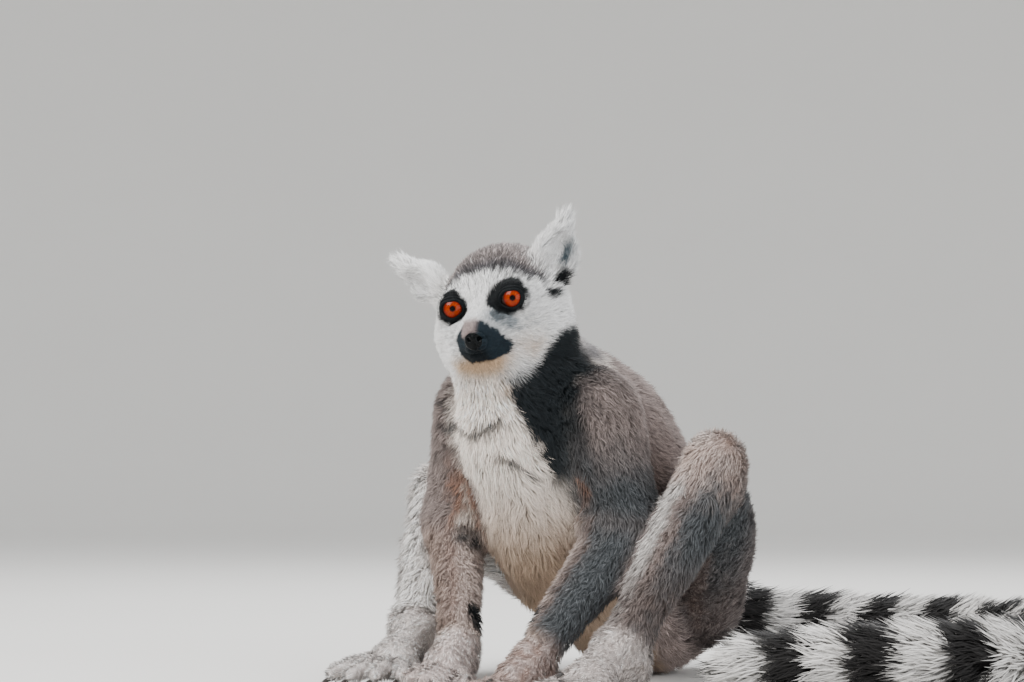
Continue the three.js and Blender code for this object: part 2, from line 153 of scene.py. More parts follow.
# name, what it covers, depth, hair, width, lift, spacing, scatter, locks
CoatFace = coat_group("Face", "Short coat round the eyes and on the muzzle.",
                      1.6, 2.5, 0.32, 22, 0.48, 0.35, 0.12)
CoatHead = coat_group("Head", "Coat of the forehead, crown and cheeks.",
                      4.0, 5.8, 0.42, 48, 0.56, 0.38, 0.22)
CoatEar = coat_group("Ear", "Coat of the ears.",
                     1.0, 7.0, 0.38, 43, 0.60, 0.45, 0.35)
CoatNeck = coat_group("Neck", "Coat of the neck.",
                      6.0, 8.5, 0.60, 50, 0.86, 0.40, 0.35)
CoatBack = coat_group("Back", "Coat of the back and flanks.",
                      5.4, 7.2, 0.62, 50, 1.04, 0.46, 0.30)
CoatChest = coat_group("Chest", "Long coat of the chest and belly.",
                       6.5, 10.0, 0.58, 38, 0.90, 0.42, 0.55)
CoatArm = coat_group("Arm", "Coat of the arms.",
                     4.2, 6.4, 0.56, 46, 0.94, 0.46, 0.35)
CoatLeg = coat_group("Leg", "Coat of the legs.",
                     5.0, 7.8, 0.62, 44, 1.04, 0.42, 0.40)
CoatHand = coat_group("Hand", "Short coat of the hands and feet.",
                      1.4, 5.6, 0.48, 34, 0.98, 0.50, 0.55)
CoatTail = coat_group("Tail", "Deep coat of the tail.",
                      13.0, 20.0, 1.15, 42, 1.34, 0.34, 0.40)
STRETCHES = {"face": CoatFace, "head": CoatHead, "ear": CoatEar, "neck": CoatNeck,
             "back": CoatBack, "chest": CoatChest, "arm": CoatArm, "leg": CoatLeg,
             "hand": CoatHand, "tail": CoatTail}
# the settings of the coat that the skin keeps at each of its points
COAT_KEYS = ("hair", "width", "lift", "spacing", "scatter", "locks")


class LemurCoat(PropertyGroup):
    """The coat, stretch by stretch."""

    __annotations__ = {name: PointerProperty(type=group) for name, group in STRETCHES.items()}


class LemurStudio(PropertyGroup):
    """Camera, floor and lights."""

    azimuth: angle("Azimuth", "Direction the camera looks from, round the animal", 37.0)
    pitch: angle("Pitch", "How far the camera looks up", 3.29)
    lens: FloatProperty(name="Lens", description="Focal length in millimetres", default=85.0)
    distance: length("Distance", "From the camera to the middle of the view", 1475.0)
    height: length("Height", "Height of the camera over the floor", 118.0)
    aside: length("Aside", "From the midline to the middle of the view", 54.3)
    ahead: length("Ahead", "From the root of the tail to the middle of the view", 112.0)
    floor: colour("Floor", "Colour of the floor", 0.80, 0.79, 0.77)
    key: FloatProperty(name="Key light", description="Power of the main light in watts", default=50.0)
    fill: FloatProperty(name="Fill light", description="Power of the fill light", default=19.0)
    rim: FloatProperty(name="Rim light", description="Power of the light from behind", default=27.0)
    sky: FloatProperty(name="Room light", description="Strength of the light all round", default=1.0)


class LemurSettings(PropertyGroup):
    """All settings of the model."""

    skin: PointerProperty(type=LemurSkin)
    colours: PointerProperty(type=LemurColours)
    coat: PointerProperty(type=LemurCoat)
    studio: PointerProperty(type=LemurStudio)


def settings():
    """The settings of this scene."""
    return bpy.context.scene.lemur


# ------------------------------------------------------------------ small tools


def unit(vectors):
    """The same directions, one long."""
    vectors = np.asarray(vectors, float)
    return vectors / np.maximum(np.linalg.norm(vectors, axis=-1, keepdims=True), 1e-12)


def dot(first, second):
    """Dot product of two lists of vectors."""
    return np.einsum("...i,...i->...", first, second)


def step(low, high, value):
    """A smooth step from nought at low to one at high."""
    t = np.clip((np.asarray(value, float) - low) / (high - low), 0.0, 1.0)
    return t * t * (3.0 - 2.0 * t)


def bump(value, width):
    """One at nought, falling off to nothing over about twice the width."""
    return np.exp(-(np.asarray(value, float) / width) ** 2)


def mix(first, second, amount):
    """From the first to the second by the amount, which may differ from point to point."""
    amount = np.asarray(amount, float)
    if amount.ndim == 1 and 3 in (np.shape(first)[-1:] + np.shape(second)[-1:]):
        amount = amount[:, None]
    return first + (second - first) * amount


def waves(points, size, seed):
    """Soft noise from minus one to one, with hills about a size across."""
    rng = np.random.default_rng(seed)
    total = np.zeros(len(points))
    for _ in range(7):
        direction = unit(rng.normal(size=3)) * 2.0 * math.pi / (size * rng.uniform(0.7, 1.6))
        total += np.sin(points @ direction + rng.uniform(0.0, 2.0 * math.pi)
                        + 1.3 * np.sin(points @ (direction[[1, 2, 0]] * 0.6)))
    return total / 3.5


def pull(items, key, width=1, kind=np.float32):
    """One property of all items, as an array with a row for each."""
    flat = np.empty(len(items) * width, kind)
    items.foreach_get(key, flat)
    return flat if width == 1 else flat.reshape(-1, width)


def vertex_points(mesh):
    """Places of the vertices."""
    return pull(mesh.vertices, "co", 3).astype(float)


def vertex_normals(mesh):
    """Normals of the vertices."""
    return pull(mesh.vertex_normals, "vector", 3).astype(float)


def cad_points(node):
    """Vertices of a solid of the frame."""
    return vertex_points(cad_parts[node].data)


def cad_triangles(node):
    """Triangles of a solid of the frame, as vertex numbers."""
    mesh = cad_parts[node].data
    mesh.calc_loop_triangles()
    return pull(mesh.loop_triangles, "vertices", 3, np.int32)


def middle(node):
    """Middle of a solid's box."""
    low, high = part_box(node)
    return np.array((low + high) / 2)


def between(first, second):
    """Middle of the thin cut between two neighbouring solids."""
    a = cad_points(first)
    b = cad_points(second)
    gaps = np.linalg.norm(a[:, None] - b[None], axis=2).min(1)
    facing = a[gaps < gaps.min() + 3.0 * MM]
    return (facing.min(0) + facing.max(0)) / 2


def farthest(node, place):
    """Point of a solid that is farthest from a place."""
    points = cad_points(node)
    return points[np.argmax(np.linalg.norm(points - place, axis=1))]


def make_mesh(name, points, faces, corners):
    """A mesh from arrays. Every face has the same number of corners."""
    mesh = bpy.data.meshes.new(name)
    mesh.vertices.add(len(points))
    mesh.vertices.foreach_set("co", np.ascontiguousarray(points, np.float32).ravel())
    mesh.loops.add(len(faces) * corners)
    mesh.loops.foreach_set("vertex_index", np.ascontiguousarray(faces, np.int32).ravel())
    mesh.polygons.add(len(faces))
    mesh.polygons.foreach_set("loop_start", np.arange(0, len(faces) * corners, corners, dtype=np.int32))
    mesh.update(calc_edges=True)
    mesh.polygons.foreach_set("use_smooth", np.ones(len(faces), bool))
    return mesh


def add_object(name, data):
    """Makes an object of the data and links it to the scene."""
    made = bpy.data.objects.new(name, data)
    bpy.context.scene.collection.objects.link(made)
    return made


def place(name, mesh, slot):
    """Puts a mesh in the scene as a piece that rides on the body, in place of an older one."""
    old = bpy.data.objects.get(name)
    if old is not None:
        bpy.data.objects.remove(old)
    piece = add_object(name, mesh)
    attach(piece, "root")
    return piece


# the type of attribute, and its key, for values, vectors and colours
KINDS = {1: ("FLOAT", "value"), 3: ("FLOAT_VECTOR", "vector"), 4: ("FLOAT_COLOR", "color")}


def store(mesh, name, values):
    """Keeps one value, vector or colour for each vertex on the mesh."""
    values = np.asarray(values, np.float32)
    kind, key = KINDS[1 if values.ndim == 1 else values.shape[1]]
    attribute = mesh.attributes.get(name) or mesh.attributes.new(name, kind, "POINT")
    attribute.data.foreach_set(key, np.ascontiguousarray(values).ravel())


def store_colour(mesh, colours):
    """Keeps the colour of the coat for each vertex on the mesh."""
    store(mesh, "coat_colour", np.column_stack([colours, np.ones(len(colours))]))


def recall(mesh, name):
    """Values kept on the mesh by store."""
    data = mesh.attributes[name].data
    kind = mesh.attributes[name].data_type
    width, key = next((width, key) for width, (found, key) in KINDS.items() if found == kind)
    return pull(data, key, width).astype(float)


class Net:
    """Which vertices of a mesh are joined by an edge."""

    def __init__(self, mesh):
        """Lists each vertex's neighbours, in the order of the vertices."""
        pairs = pull(mesh.edges, "vertices", 2, np.int32)
        both = np.concatenate([pairs, pairs[:, ::-1]])
        both = both[np.argsort(both[:, 0], kind="stable")]
        self.size = len(mesh.vertices)
        self.other = both[:, 1]
        self.start = np.searchsorted(both[:, 0], np.arange(self.size))
        self.count = np.bincount(both[:, 0], minlength=self.size)

    def mean(self, values):
        """Each vertex's mean over its neighbours."""
        total = np.add.reduceat(values[self.other], self.start, axis=0)
        return total / (self.count if values.ndim == 1 else self.count[:, None])

    def spread(self, values, rounds):
        """The values spread out over the surface."""
        for _ in range(rounds):
            values = 0.4 * values + 0.6 * self.mean(values)
        return values

    def islands(self):
        """The number of the island that each vertex is on."""
        label = np.arange(self.size)
        while True:
            lower = np.minimum(label, np.minimum.reduceat(label[self.other], self.start))
            lower = lower[lower]
            if np.array_equal(lower, label):
                return label
            label = lower


# ------------------------------------------------------------------ where things are


def head_axes():
    """Middle between the eyes, and the head's own axes: to its left, backwards and up."""
    left = middle("eye_left")
    right = middle("eye_right")
    across = unit(left - right)
    back = unit(np.cross([0.0, 0.0, 1.0], across))
    return (left + right) / 2, np.array([across, back, np.cross(across, back)])


EYES, HEAD_AXES = head_axes()
EYE_RADIUS = float((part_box("eye_left")[1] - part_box("eye_left")[0]).z / 2)
EYE_HALF = float(np.linalg.norm(middle("eye_left") - EYES))
# the place on the nose that the coat of the head lies away from
NOSE = EYES + np.array([0.0, -27.0, -22.5]) * MM @ HEAD_AXES
# middle of the nose pad in the head's own axes, in millimetres
NOSE_SIDE = 1.2
NOSE_HEIGHT = -22.8


def in_head(points):
    """Points in the head's own axes, in millimetres from the middle between the eyes."""
    return (points - EYES) @ HEAD_AXES.T / MM


def joint_places():
    """Places of the joints inside the limbs, from the cuts between the solids."""
    found = {}
    for name, _ in SIDES:
        arm = [f"upper_arm_{name}", f"forearm_{name}", f"hand_{name}"]
        leg = [f"thigh_{name}", f"shin_{name}", f"foot_{name}"]
        for chain in (arm, leg):
            places = [between("trunk", chain[0]), between(chain[0], chain[1]),
                      between(chain[1], chain[2])]
            places.append(farthest(chain[2], places[2]))
            for part, start, end in zip(chain, places, places[1:]):
                found[part] = (start, end)
        ear = f"ear_{name}"
        root = between("head", ear)
        found[ear] = (root, farthest(ear, root))
    return found


JOINTS = joint_places()
NECK_BASE = between("neck", "trunk")
TAIL_ROOT = between("trunk", TAIL[0])


def tail_path():
    """Points on a smooth curve along the middle of the tail, and how far along each one is."""
    stops = [TAIL_ROOT]
    for first, second in zip(TAIL, TAIL[1:]):
        stops += [cad_points(first).mean(0), between(first, second)]
    stops.append(cad_points(TAIL[-1]).mean(0))
    stops.append(farthest(TAIL[-1], stops[-2]))
    stops = np.array(stops)
    padded = np.concatenate([2 * stops[:1] - stops[1:2], stops, 2 * stops[-1:] - stops[-2:-1]])
    t = np.linspace(0.0, 1.0, 24, endpoint=False)[:, None]
    pieces = []
    for a, b, c, d in zip(padded, padded[1:], padded[2:], padded[3:]):
        pieces.append(0.5 * (2 * b + (c - a) * t + (2 * a - 5 * b + 4 * c - d) * t ** 2
                             + (3 * b - a - 3 * c + d) * t ** 3))
    path = np.concatenate(pieces + [stops[-1:]])
    along = np.concatenate([[0.0], np.cumsum(np.linalg.norm(np.diff(path, axis=0), axis=1))])
    return path, along


TAIL_PATH, TAIL_ALONG = tail_path()


def along_tail(points):
    """How far along the tail each point is, and the tail's direction there."""
    nearest = np.empty(len(points), int)
    block = 20000
    for first in range(0, len(points), block):
        gaps = ((points[first:first + block, None] - TAIL_PATH[None]) ** 2).sum(2)
        nearest[first:first + block] = gaps.argmin(1)
    ahead = unit(np.gradient(TAIL_PATH, axis=0))
    offset = dot(points - TAIL_PATH[nearest], ahead[nearest])
    return TAIL_ALONG[nearest] + offset, ahead[nearest]


def trunk_middle():
    """Heights up the trunk, with the middle and half the depth of the trunk at each."""
    points = cad_points("trunk")
    inset = 8 * MM
    half_slice = 12 * MM
    heights = np.linspace(points[:, 2].min() + inset, points[:, 2].max() - inset, 9)
    rows = []
    for height in heights:
        slice_y = points[np.abs(points[:, 2] - height) < half_slice, 1]
        rows.append(((slice_y.min() + slice_y.max()) / 2, (slice_y.max() - slice_y.min()) / 2))
    return heights, np.array(rows)


TRUNK_HEIGHTS, TRUNK_ROWS = trunk_middle()
MIDLINE = float(middle("trunk")[0])


def frontness(points):
    """Minus one at the back of the trunk, one at the front."""
    centre = np.interp(points[:, 2], TRUNK_HEIGHTS, TRUNK_ROWS[:, 0])
    half = np.interp(points[:, 2], TRUNK_HEIGHTS, TRUNK_ROWS[:, 1])
    return (centre - points[:, 1]) / half


def face_share(local):
    """One on the short-haired face, nought on the rest of the head."""
    x, y, z = local.T
    forward = step(9.0, 14.0, -y)
    bridge = step(15.0, 9.0, np.abs(x)) * step(13.0, 6.0, z) * step(0.0, 5.0, -y)
    round_eye = bump(np.hypot(np.abs(x) - EYE_HALF / MM, z), 9.5) * step(-12.0, -6.0, -y)
    return np.clip(forward + bridge + 1.3 * round_eye, 0.0, 1.0)


def stretch_shares(points, parts):
    """How much each point belongs to each stretch of the coat, from its shares in the solids."""
    column = dict(zip(FLESH, parts.T))

    def both_sides(*names):
        """Share in these parts of the left and right."""
        return sum(column[f"{part}_{name}"] for part in names for name, _ in SIDES)

    face = face_share(in_head(points)) * column["head"]
    front = step(0.05, 0.45, frontness(points))
    shares = {
        "face": face,
        "head": column["head"] - face,
        "ear": both_sides("ear"),
        "neck": column["neck"],
        "back": column["trunk"] * (1.0 - front),
        "chest": column["trunk"] * front,
        "arm": both_sides("upper_arm", "forearm"),
        "leg": both_sides("thigh", "shin"),
        "hand": both_sides("hand", "foot"),
        "tail": sum(column[name] for name in TAIL),
    }
    return np.array([shares[name] for name in STRETCHES]).T


def coat_value(shares, key):
    """A coat setting at each point, mixed from the stretches that it belongs to."""
    values = [getattr(getattr(settings().coat, name), key) for name in STRETCHES]
    return shares @ np.array(values)


# ------------------------------------------------------------------ the skin


def ball(centre, radius):
    """Points and triangles of a ball."""
    work = bmesh.new()
    bmesh.ops.create_icosphere(work, subdivisions=4, radius=radius, matrix=Matrix.Translation(centre))
    work.verts.index_update()
    points = np.array([corner.co for corner in work.verts])
    triangles = np.array([[corner.index for corner in face.verts] for face in work.faces])
    work.free()
    return points, triangles


class Solids:
    """All solids of flesh as one list of triangles, and a quick way to find the nearest.

    A ball over each eye is part of the head, so that there is skin for the lids."""

    def __init__(self):
        """Lists the triangles with the solid that each belongs to."""
        shapes = [(name, cad_points(name), cad_triangles(name)) for name in FLESH]
        lids = EYE_RADIUS + settings().skin.lid_thickness + settings().coat.face.depth
        shapes += [("head", *ball(middle(f"eye_{name}"), lids)) for name, _ in SIDES]
        faces = []
        owner = []
        first = 0
        for name, points, triangles in shapes:
            faces.append(triangles + first)
            owner.append(np.full(len(triangles), FLESH.index(name)))
            first += len(points)
        self.points = np.concatenate([points for _, points, _ in shapes])
        self.faces = np.concatenate(faces)
        self.owner = np.concatenate(owner)
        self.tree = BVHTree.FromPolygons(self.points.tolist(), self.faces.tolist())

    def parts(self, points):
        """One for the solid nearest to each point, nought for the others."""
        nearest = [self.tree.find_nearest(point)[2] for point in points.tolist()]
        shares = np.zeros((len(points), len(FLESH)), np.float32)
        shares[np.arange(len(points)), self.owner[nearest]] = 1.0
        return shares

    def faces_of(self, names):
        """Triangles of these solids, for a level set."""
        return self.faces[np.isin(self.owner, [FLESH.index(name) for name in names])].astype(np.uint32)


def blur(field, rounds):
    """A field on a grid, softened along each of its axes."""
    for _ in range(rounds):
        for axis in range(3):
            padded = np.concatenate([np.take(field, [0], axis), field, np.take(field, [-1], axis)], axis)
            count = field.shape[axis]
            field = (np.take(padded, range(count), axis) + 2 * field
                     + np.take(padded, range(2, count + 2), axis)) / 4
    return field


def resample(field, axis, places):
    """The field at new places along one axis."""
    low = np.clip(np.floor(places).astype(int), 0, field.shape[axis] - 2)
    part = (places - low).reshape([-1 if k == axis else 1 for k in range(3)]).astype(np.float32)
    return np.take(field, low, axis) * (1 - part) + np.take(field, low + 1, axis) * part


def depth_grid(solids, low, count, cell):
    """How deep the skin lies under the outline, on a grid: coarse cells first, then the fine ones."""
    coarse = 4
    sizes = [-(-size // coarse) + 2 for size in count]
    axes = [(low[k] + coarse * np.arange(sizes[k])) * cell for k in range(3)]
    places = np.stack(np.meshgrid(*axes, indexing="ij"), -1).reshape(-1, 3)
    shares = stretch_shares(places, solids.parts(places))
    depth = coat_value(shares, "depth")
    paws = shares[:, list(STRETCHES).index("hand")]
    depth *= 1.0 - paws * (1.0 - step(-1.0 * MM, 5.0 * MM, places[:, 2]))
    field = blur(depth.reshape(sizes), 2).astype(np.float32)
    for axis in range(3):
        field = resample(field, axis, np.arange(count[axis]) / coarse)
    return field


# how many cells a level set is known beyond its surface, and empty cells round the whole grid
BAND = 3.0
MARGIN = 12


def joined(solids, names, reach, low, count):
    """Distance to some solids made one: grown by the reach, then drawn back by it."""
    cell = settings().skin.voxel
    transform = vdb.createLinearTransform(voxelSize=cell)
    shell = vdb.FloatGrid.createLevelSetFromPolygons(
        solids.points.astype(np.float32), triangles=solids.faces_of(names), transform=transform,
        exBandWidth=reach / cell + BAND, inBandWidth=BAND)
    points, triangles, quads = shell.convertToPolygons(isovalue=reach)
    deepest = max(getattr(settings().coat, name).depth for name in STRETCHES) + reach
    whole = vdb.FloatGrid.createLevelSetFromPolygons(
        points, triangles=triangles, quads=quads, transform=transform,
        exBandWidth=BAND, inBandWidth=deepest / cell + BAND)
    field = np.zeros(count, np.float32)
    whole.copyToArray(field, ijk=tuple(low.tolist()))
    return field + reach


def creases():
    """Solids between which a deep crease is filled, and how far each side reaches."""
    yield ("trunk", "thigh_left", "thigh_right"), 5.0 * MM
    yield ("trunk", "neck", "upper_arm_left", "upper_arm_right"), 6.0 * MM
    yield ("head", "neck"), 4.0 * MM
    for name, _ in SIDES:
        yield (f"thigh_{name}", f"shin_{name}"), 19.0 * MM
        yield (f"upper_arm_{name}", f"forearm_{name}"), 5.0 * MM


def draw_skin(solids):
    """Points and faces of the skin, drawn inside the joined solids at the depth of the coat."""
    chosen = settings().skin
    cell = chosen.voxel
    low = np.floor(solids.points.min(0) / cell).astype(int) - MARGIN
    count = np.ceil(solids.points.max(0) / cell).astype(int) + MARGIN - low
    field = joined(solids, FLESH, chosen.join, low, count)
    for names, reach in creases():
        field = np.minimum(field, joined(solids, names, reach, low, count))
    field += depth_grid(solids, low, count, cell)
    band = BAND * cell
    np.clip(field, -band, band, out=field)
    inner = vdb.FloatGrid(band)
    inner.transform = vdb.createLinearTransform(voxelSize=cell)
    inner.copyFromArray(field, ijk=tuple(low.tolist()))
    points, quads = inner.convertToQuads()
    return points.astype(float), quads.astype(np.int64)


def largest_island(points, quads):
    """Leaves out loose crumbs."""
    mesh = make_mesh("crumbs", points, quads, 4)
    label = Net(mesh).islands()
    bpy.data.meshes.remove(mesh)
    kept = label == np.bincount(label).argmax()
    number = np.cumsum(kept) - 1
    return points[kept], number[quads[kept[quads[:, 0]]]]


def subdivide(mesh, chosen):
    """Halves the edges whose both ends are chosen."""
    work = bmesh.new()
    work.from_mesh(mesh)
    work.verts.ensure_lookup_table()
    edges = [edge for edge in work.edges if chosen[edge.verts[0].index] and chosen[edge.verts[1].index]]
    bmesh.ops.subdivide_edges(work, edges=edges, cuts=1, use_grid_fill=True)
    work.to_mesh(mesh)
    work.free()
    mesh.update()


def smooth_points(points, net, weight, rounds):
    """Smooths without shrinking, each point by its own weight."""
    for _ in range(rounds):
        points = points + 0.50 * weight * (net.mean(points) - points)
        points = points - 0.52 * weight * (net.mean(points) - points)
    return points


# the way the lids face
LIDS_TURN = math.radians(13.0)
LIDS_RISE = math.radians(4.0)
# how far from an eye's axis the lids stand their own thickness over the eyeball, and where they end
LIDS_NEAR = 5.35
LIDS_WIDE = 12.5
# how far behind an eye's middle the lids reach
LIDS_BACK = -7.0


def eye_axes(side):
    """An eye's middle in the head's axes, and the way its lids face, outwards and up."""
    level = math.cos(LIDS_RISE)
    facing = np.array([math.sin(LIDS_TURN) * level, -math.cos(LIDS_TURN) * level,
                       math.sin(LIDS_RISE)])
    outward = side * np.array([math.cos(LIDS_TURN), math.sin(LIDS_TURN), 0.0])
    upward = np.cross(facing, outward) * side
    return np.array([side * EYE_HALF / MM, 0.0, 0.0]), facing, outward, upward


def round_the_eye(local, side):
    """Height over the eye's middle, distance from its axis, and share outwards and upwards."""
    centre, facing, outward, upward = eye_axes(side)
    offset = local - centre
    height = offset @ facing
    across = offset @ outward
    rise = offset @ upward
    distance = np.hypot(across, rise)
    safe = np.maximum(distance, 1e-6)
    return height, distance, across / safe, rise / safe


def shape_lids(local, side):
    """Draws the skin up round one eyeball as a pair of lids with a thin rim."""
    chosen = settings().skin
    centre, facing, outward, upward = eye_axes(side)
    height, distance, across, rise = round_the_eye(local, side)
    ball_radius = EYE_RADIUS / MM
    corner = bump(np.arctan2(rise, -across) + 0.35, 0.42)
    rim = chosen.lid_opening / MM + 1.2 * corner - 2.1 * np.clip(rise, 0.0, 1.0) ** 2
    rim += 0.5 * np.clip(-rise, 0.0, 1.0) ** 2
    over_rim = math.sqrt(ball_radius ** 2 - LIDS_NEAR ** 2) + chosen.lid_thickness / MM
    lid = over_rim + 0.063 * (LIDS_NEAR ** 2 - distance ** 2)
    # the groove along the rim, two folds above it and one below
    lid -= 0.50 * bump(distance - rim, 0.40)
    lid -= 0.60 * bump(distance - rim - 1.9, 0.50) * step(-0.1, 0.6, rise)
    lid -= 0.50 * bump(distance - rim - 3.6, 0.55) * step(0.0, 0.6, rise)
    lid -= 0.35 * bump(distance - rim - 2.2, 0.55) * step(0.2, 0.8, -rise)
    under = np.sqrt(np.maximum(ball_radius ** 2 - distance ** 2, 0.0)) - 1.4
    edge = 0.22
    wanted = np.where(distance > rim - edge, mix(lid, height, step(7.8, LIDS_WIDE, distance)), under)
    snapped = np.where(np.abs(distance - rim) < edge, rim, distance)
    moved = (centre + wanted[:, None] * facing
             + (snapped * across)[:, None] * outward + (snapped * rise)[:, None] * upward)
    near = (distance < LIDS_WIDE) & (height > LIDS_BACK)
    return np.where(near[:, None], moved, local)


def shape_nose(local):
    """Nose pad with its nostrils, the groove round it, and the line of the mouth, in millimetres."""
    x, y, z = local.T
    near = step(-12.0, -20.0, y)
    across = x - NOSE_SIDE
    out = 1.0 * nose_share(local)
    edge = np.hypot(across / 5.4, (z - NOSE_HEIGHT) / 4.6)
    out -= 0.55 * bump(edge - 1.12, 0.10) * step(-31.0, -27.0, z)
    for _, side in SIDES:
        out -= 2.0 * bump(across - side * 2.7, 0.95) * bump(z - NOSE_HEIGHT - 0.3 * across * side, 1.15)
        out -= 1.5 * bump(z - NOSE_HEIGHT - 1.2, 0.75) * bump(across - side * 4.4, 1.5)
    out -= 0.8 * bump(across, 0.5) * step(-22.5, -24.5, z) * step(-31.5, -29.0, z)
    mouth = -30.2 + 0.10 * (y + 27.0) + 0.018 * x ** 2
    out -= 1.1 * bump(z - mouth, 0.65) * step(-9.0, -12.0, y)
    out += 0.5 * bump(z - mouth - 2.4, 1.6) * step(-9.0, -14.0, y)
    out += 0.5 * bump(z - mouth + 2.2, 1.4) * step(-9.0, -14.0, y)
    direction = unit(np.stack([across * 0.9, -np.ones(len(x)) * 7.0, (z + 22.0) * 0.5], 1))
    moved = local + direction * (out * near)[:, None]
    moved[:, 0] += 1.2 * step(-12.0, -22.0, y) * step(2.0, -8.0, z)
    moved[:, 0] += 2.4 * step(-3.0, -10.0, x) * step(-6.0, -14.0, y) * step(-16.0, -22.0, z)
    return moved


def shape_head(points):
    """The features of the face, worked out in the head's own axes."""
    local = in_head(points)
    for _, side in SIDES:
        local = shape_lids(local, side)
    local = shape_nose(local)
    local[:, 2] += 6.0 * step(-35.0, -42.0, local[:, 0]) * step(20.0, 6.0, local[:, 2])
    return EYES + local @ HEAD_AXES * MM


def refine_face(mesh):
    """Finer cells on the face, and finer still round the eyes and on the nose."""
    local = in_head(vertex_points(mesh))
    face = (np.abs(local[:, 0]) < 34) & (local[:, 1] < 4) & (np.abs(local[:, 2] + 6) < 30)
    subdivide(mesh, face)
    local = in_head(vertex_points(mesh))
    fine = np.linalg.norm(local - [0.0, -25.0, -22.0], axis=1) < 11.0
    for _, side in SIDES:
        height, distance, _, _ = round_the_eye(local, side)
        fine |= (distance < 11.0) & (height > LIDS_BACK)
    subdivide(mesh, fine)
    local = in_head(vertex_points(mesh))
    finest = np.linalg.norm(local - [NOSE_SIDE, -27.0, NOSE_HEIGHT], axis=1) < 8.5
    for _, side in SIDES:
        height, distance, _, _ = round_the_eye(local, side)
        finest |= (np.abs(distance - 5.6) < 2.2) & (height > 0.0)
    subdivide(mesh, finest)


def lie_of_coat(points, normals, parts, net):
    """Direction in which the coat lies at each point, along the skin."""
    flow = np.zeros((len(points), 3))
    tail_way = along_tail(points)[1]
    for number, name in enumerate(FLESH):
        if name == "head":
            way = unit(points - NOSE)
        elif name == "neck":
            way = unit(NECK_BASE - EYES)
        elif name == "trunk":
            way = unit(TAIL_ROOT - NECK_BASE)
        elif name in TAIL:
            way = tail_way
        else:
            start, end = JOINTS[name]
            way = unit(end - start)
        flow += parts[:, number:number + 1] * way
    local = in_head(points)
    for _, side in SIDES:
        height, distance, _, _ = round_the_eye(local, side)
        away = unit(local - eye_axes(side)[0]) @ HEAD_AXES
        round_eye = bump(distance, 11.0) * step(LIDS_BACK, -2.0, height)
        flow = mix(flow, away, round_eye)
    for _ in range(16):
        flow = flow - normals * dot(flow, normals)[:, None]
        flow = unit(0.35 * unit(flow) + 0.65 * net.mean(unit(flow)))
    return unit(flow - normals * dot(flow, normals)[:, None])


# ------------------------------------------------------------------ markings


def rgb(name):
    """A colour from the settings."""
    return np.array(getattr(settings().colours, name))


def limb_inside(normals, start, end, side, forward):
    """One on the side of a limb that faces the midline, or forwards by the given share of the way."""
    axis = unit(end - start)
    towards = np.array([-side * math.sqrt(1.0 - forward ** 2), -forward, 0.0])
    return normals @ unit(towards - axis * (towards @ axis))


def collar_share(local):
    """One on the dark collar outside the pale throat, which narrows downwards on the left."""
    x, _, z = local.T
    left = np.maximum(36.9 + (z + 17.6) / 1.26, 9.5)
    right = 0.55 * step(24.0, 30.0, -x) * step(-28.0, -36.0, z)
    return np.where(x > 0.0, step(-1.3, 1.3, x - left), right)


def cap_height(local, rough):
    """Height over the lower edge of the cap, which runs down behind the head to the nape."""
    x, y, z = local.T
    wide = np.abs(x)
    edge = 17.6 - 0.0017 * wide ** 2.6 - 21.0 * step(12.0, 30.0, y) * step(27.0, 17.0, wide)
    return z - edge + rough - 12.0 * step(29.5, 33.0, wide)


def eye_patch(local, side, rough):
    """One in the black patch of an eye, which reaches inwards and to a peak above."""
    high, distance, across, rise = round_the_eye(local, side)
    inner = np.arctan2(rise, -across)
    peak = np.arctan2(rise, across)
    reach = (8.0 + 0.9 * side + 1.0 * np.clip(rise + 0.3, 0.0, 1.0)
             + (3.6 + 2.6 * side) * bump(inner - 0.10, 0.85) + 4.2 * bump(peak - 1.6, 0.45)
             + 1.3 * (1 - side) * np.clip(-rise, 0.0, 1.0))
    return step(1.0, -1.0, distance - reach + 0.8 * rough) * step(-9.0, -5.0, high)


def muzzle_share(local):
    """One on the dark skin of the muzzle and lips."""
    x, y, z = local.T
    back = 11.5 - 9.5 * step(-18.5, -25.0, z) * step(-34.5, -28.5, z) * step(-7.0, 1.0, x)
    top = -11.3 - 0.9 * np.maximum(0.0, np.abs(x) - 5.5)
    return step(-0.7, 0.7, -y - back) * step(0.7, -0.7, z - top) * step(-34.5, -33.2, z)


def nose_share(local):
    """One on the wet nose pad."""
    x, y, z = local.T
    return step(1.06, 0.92, np.hypot((x - NOSE_SIDE) / 5.8, (z - NOSE_HEIGHT) / 4.9)) * step(-17.0, -20.0, y)


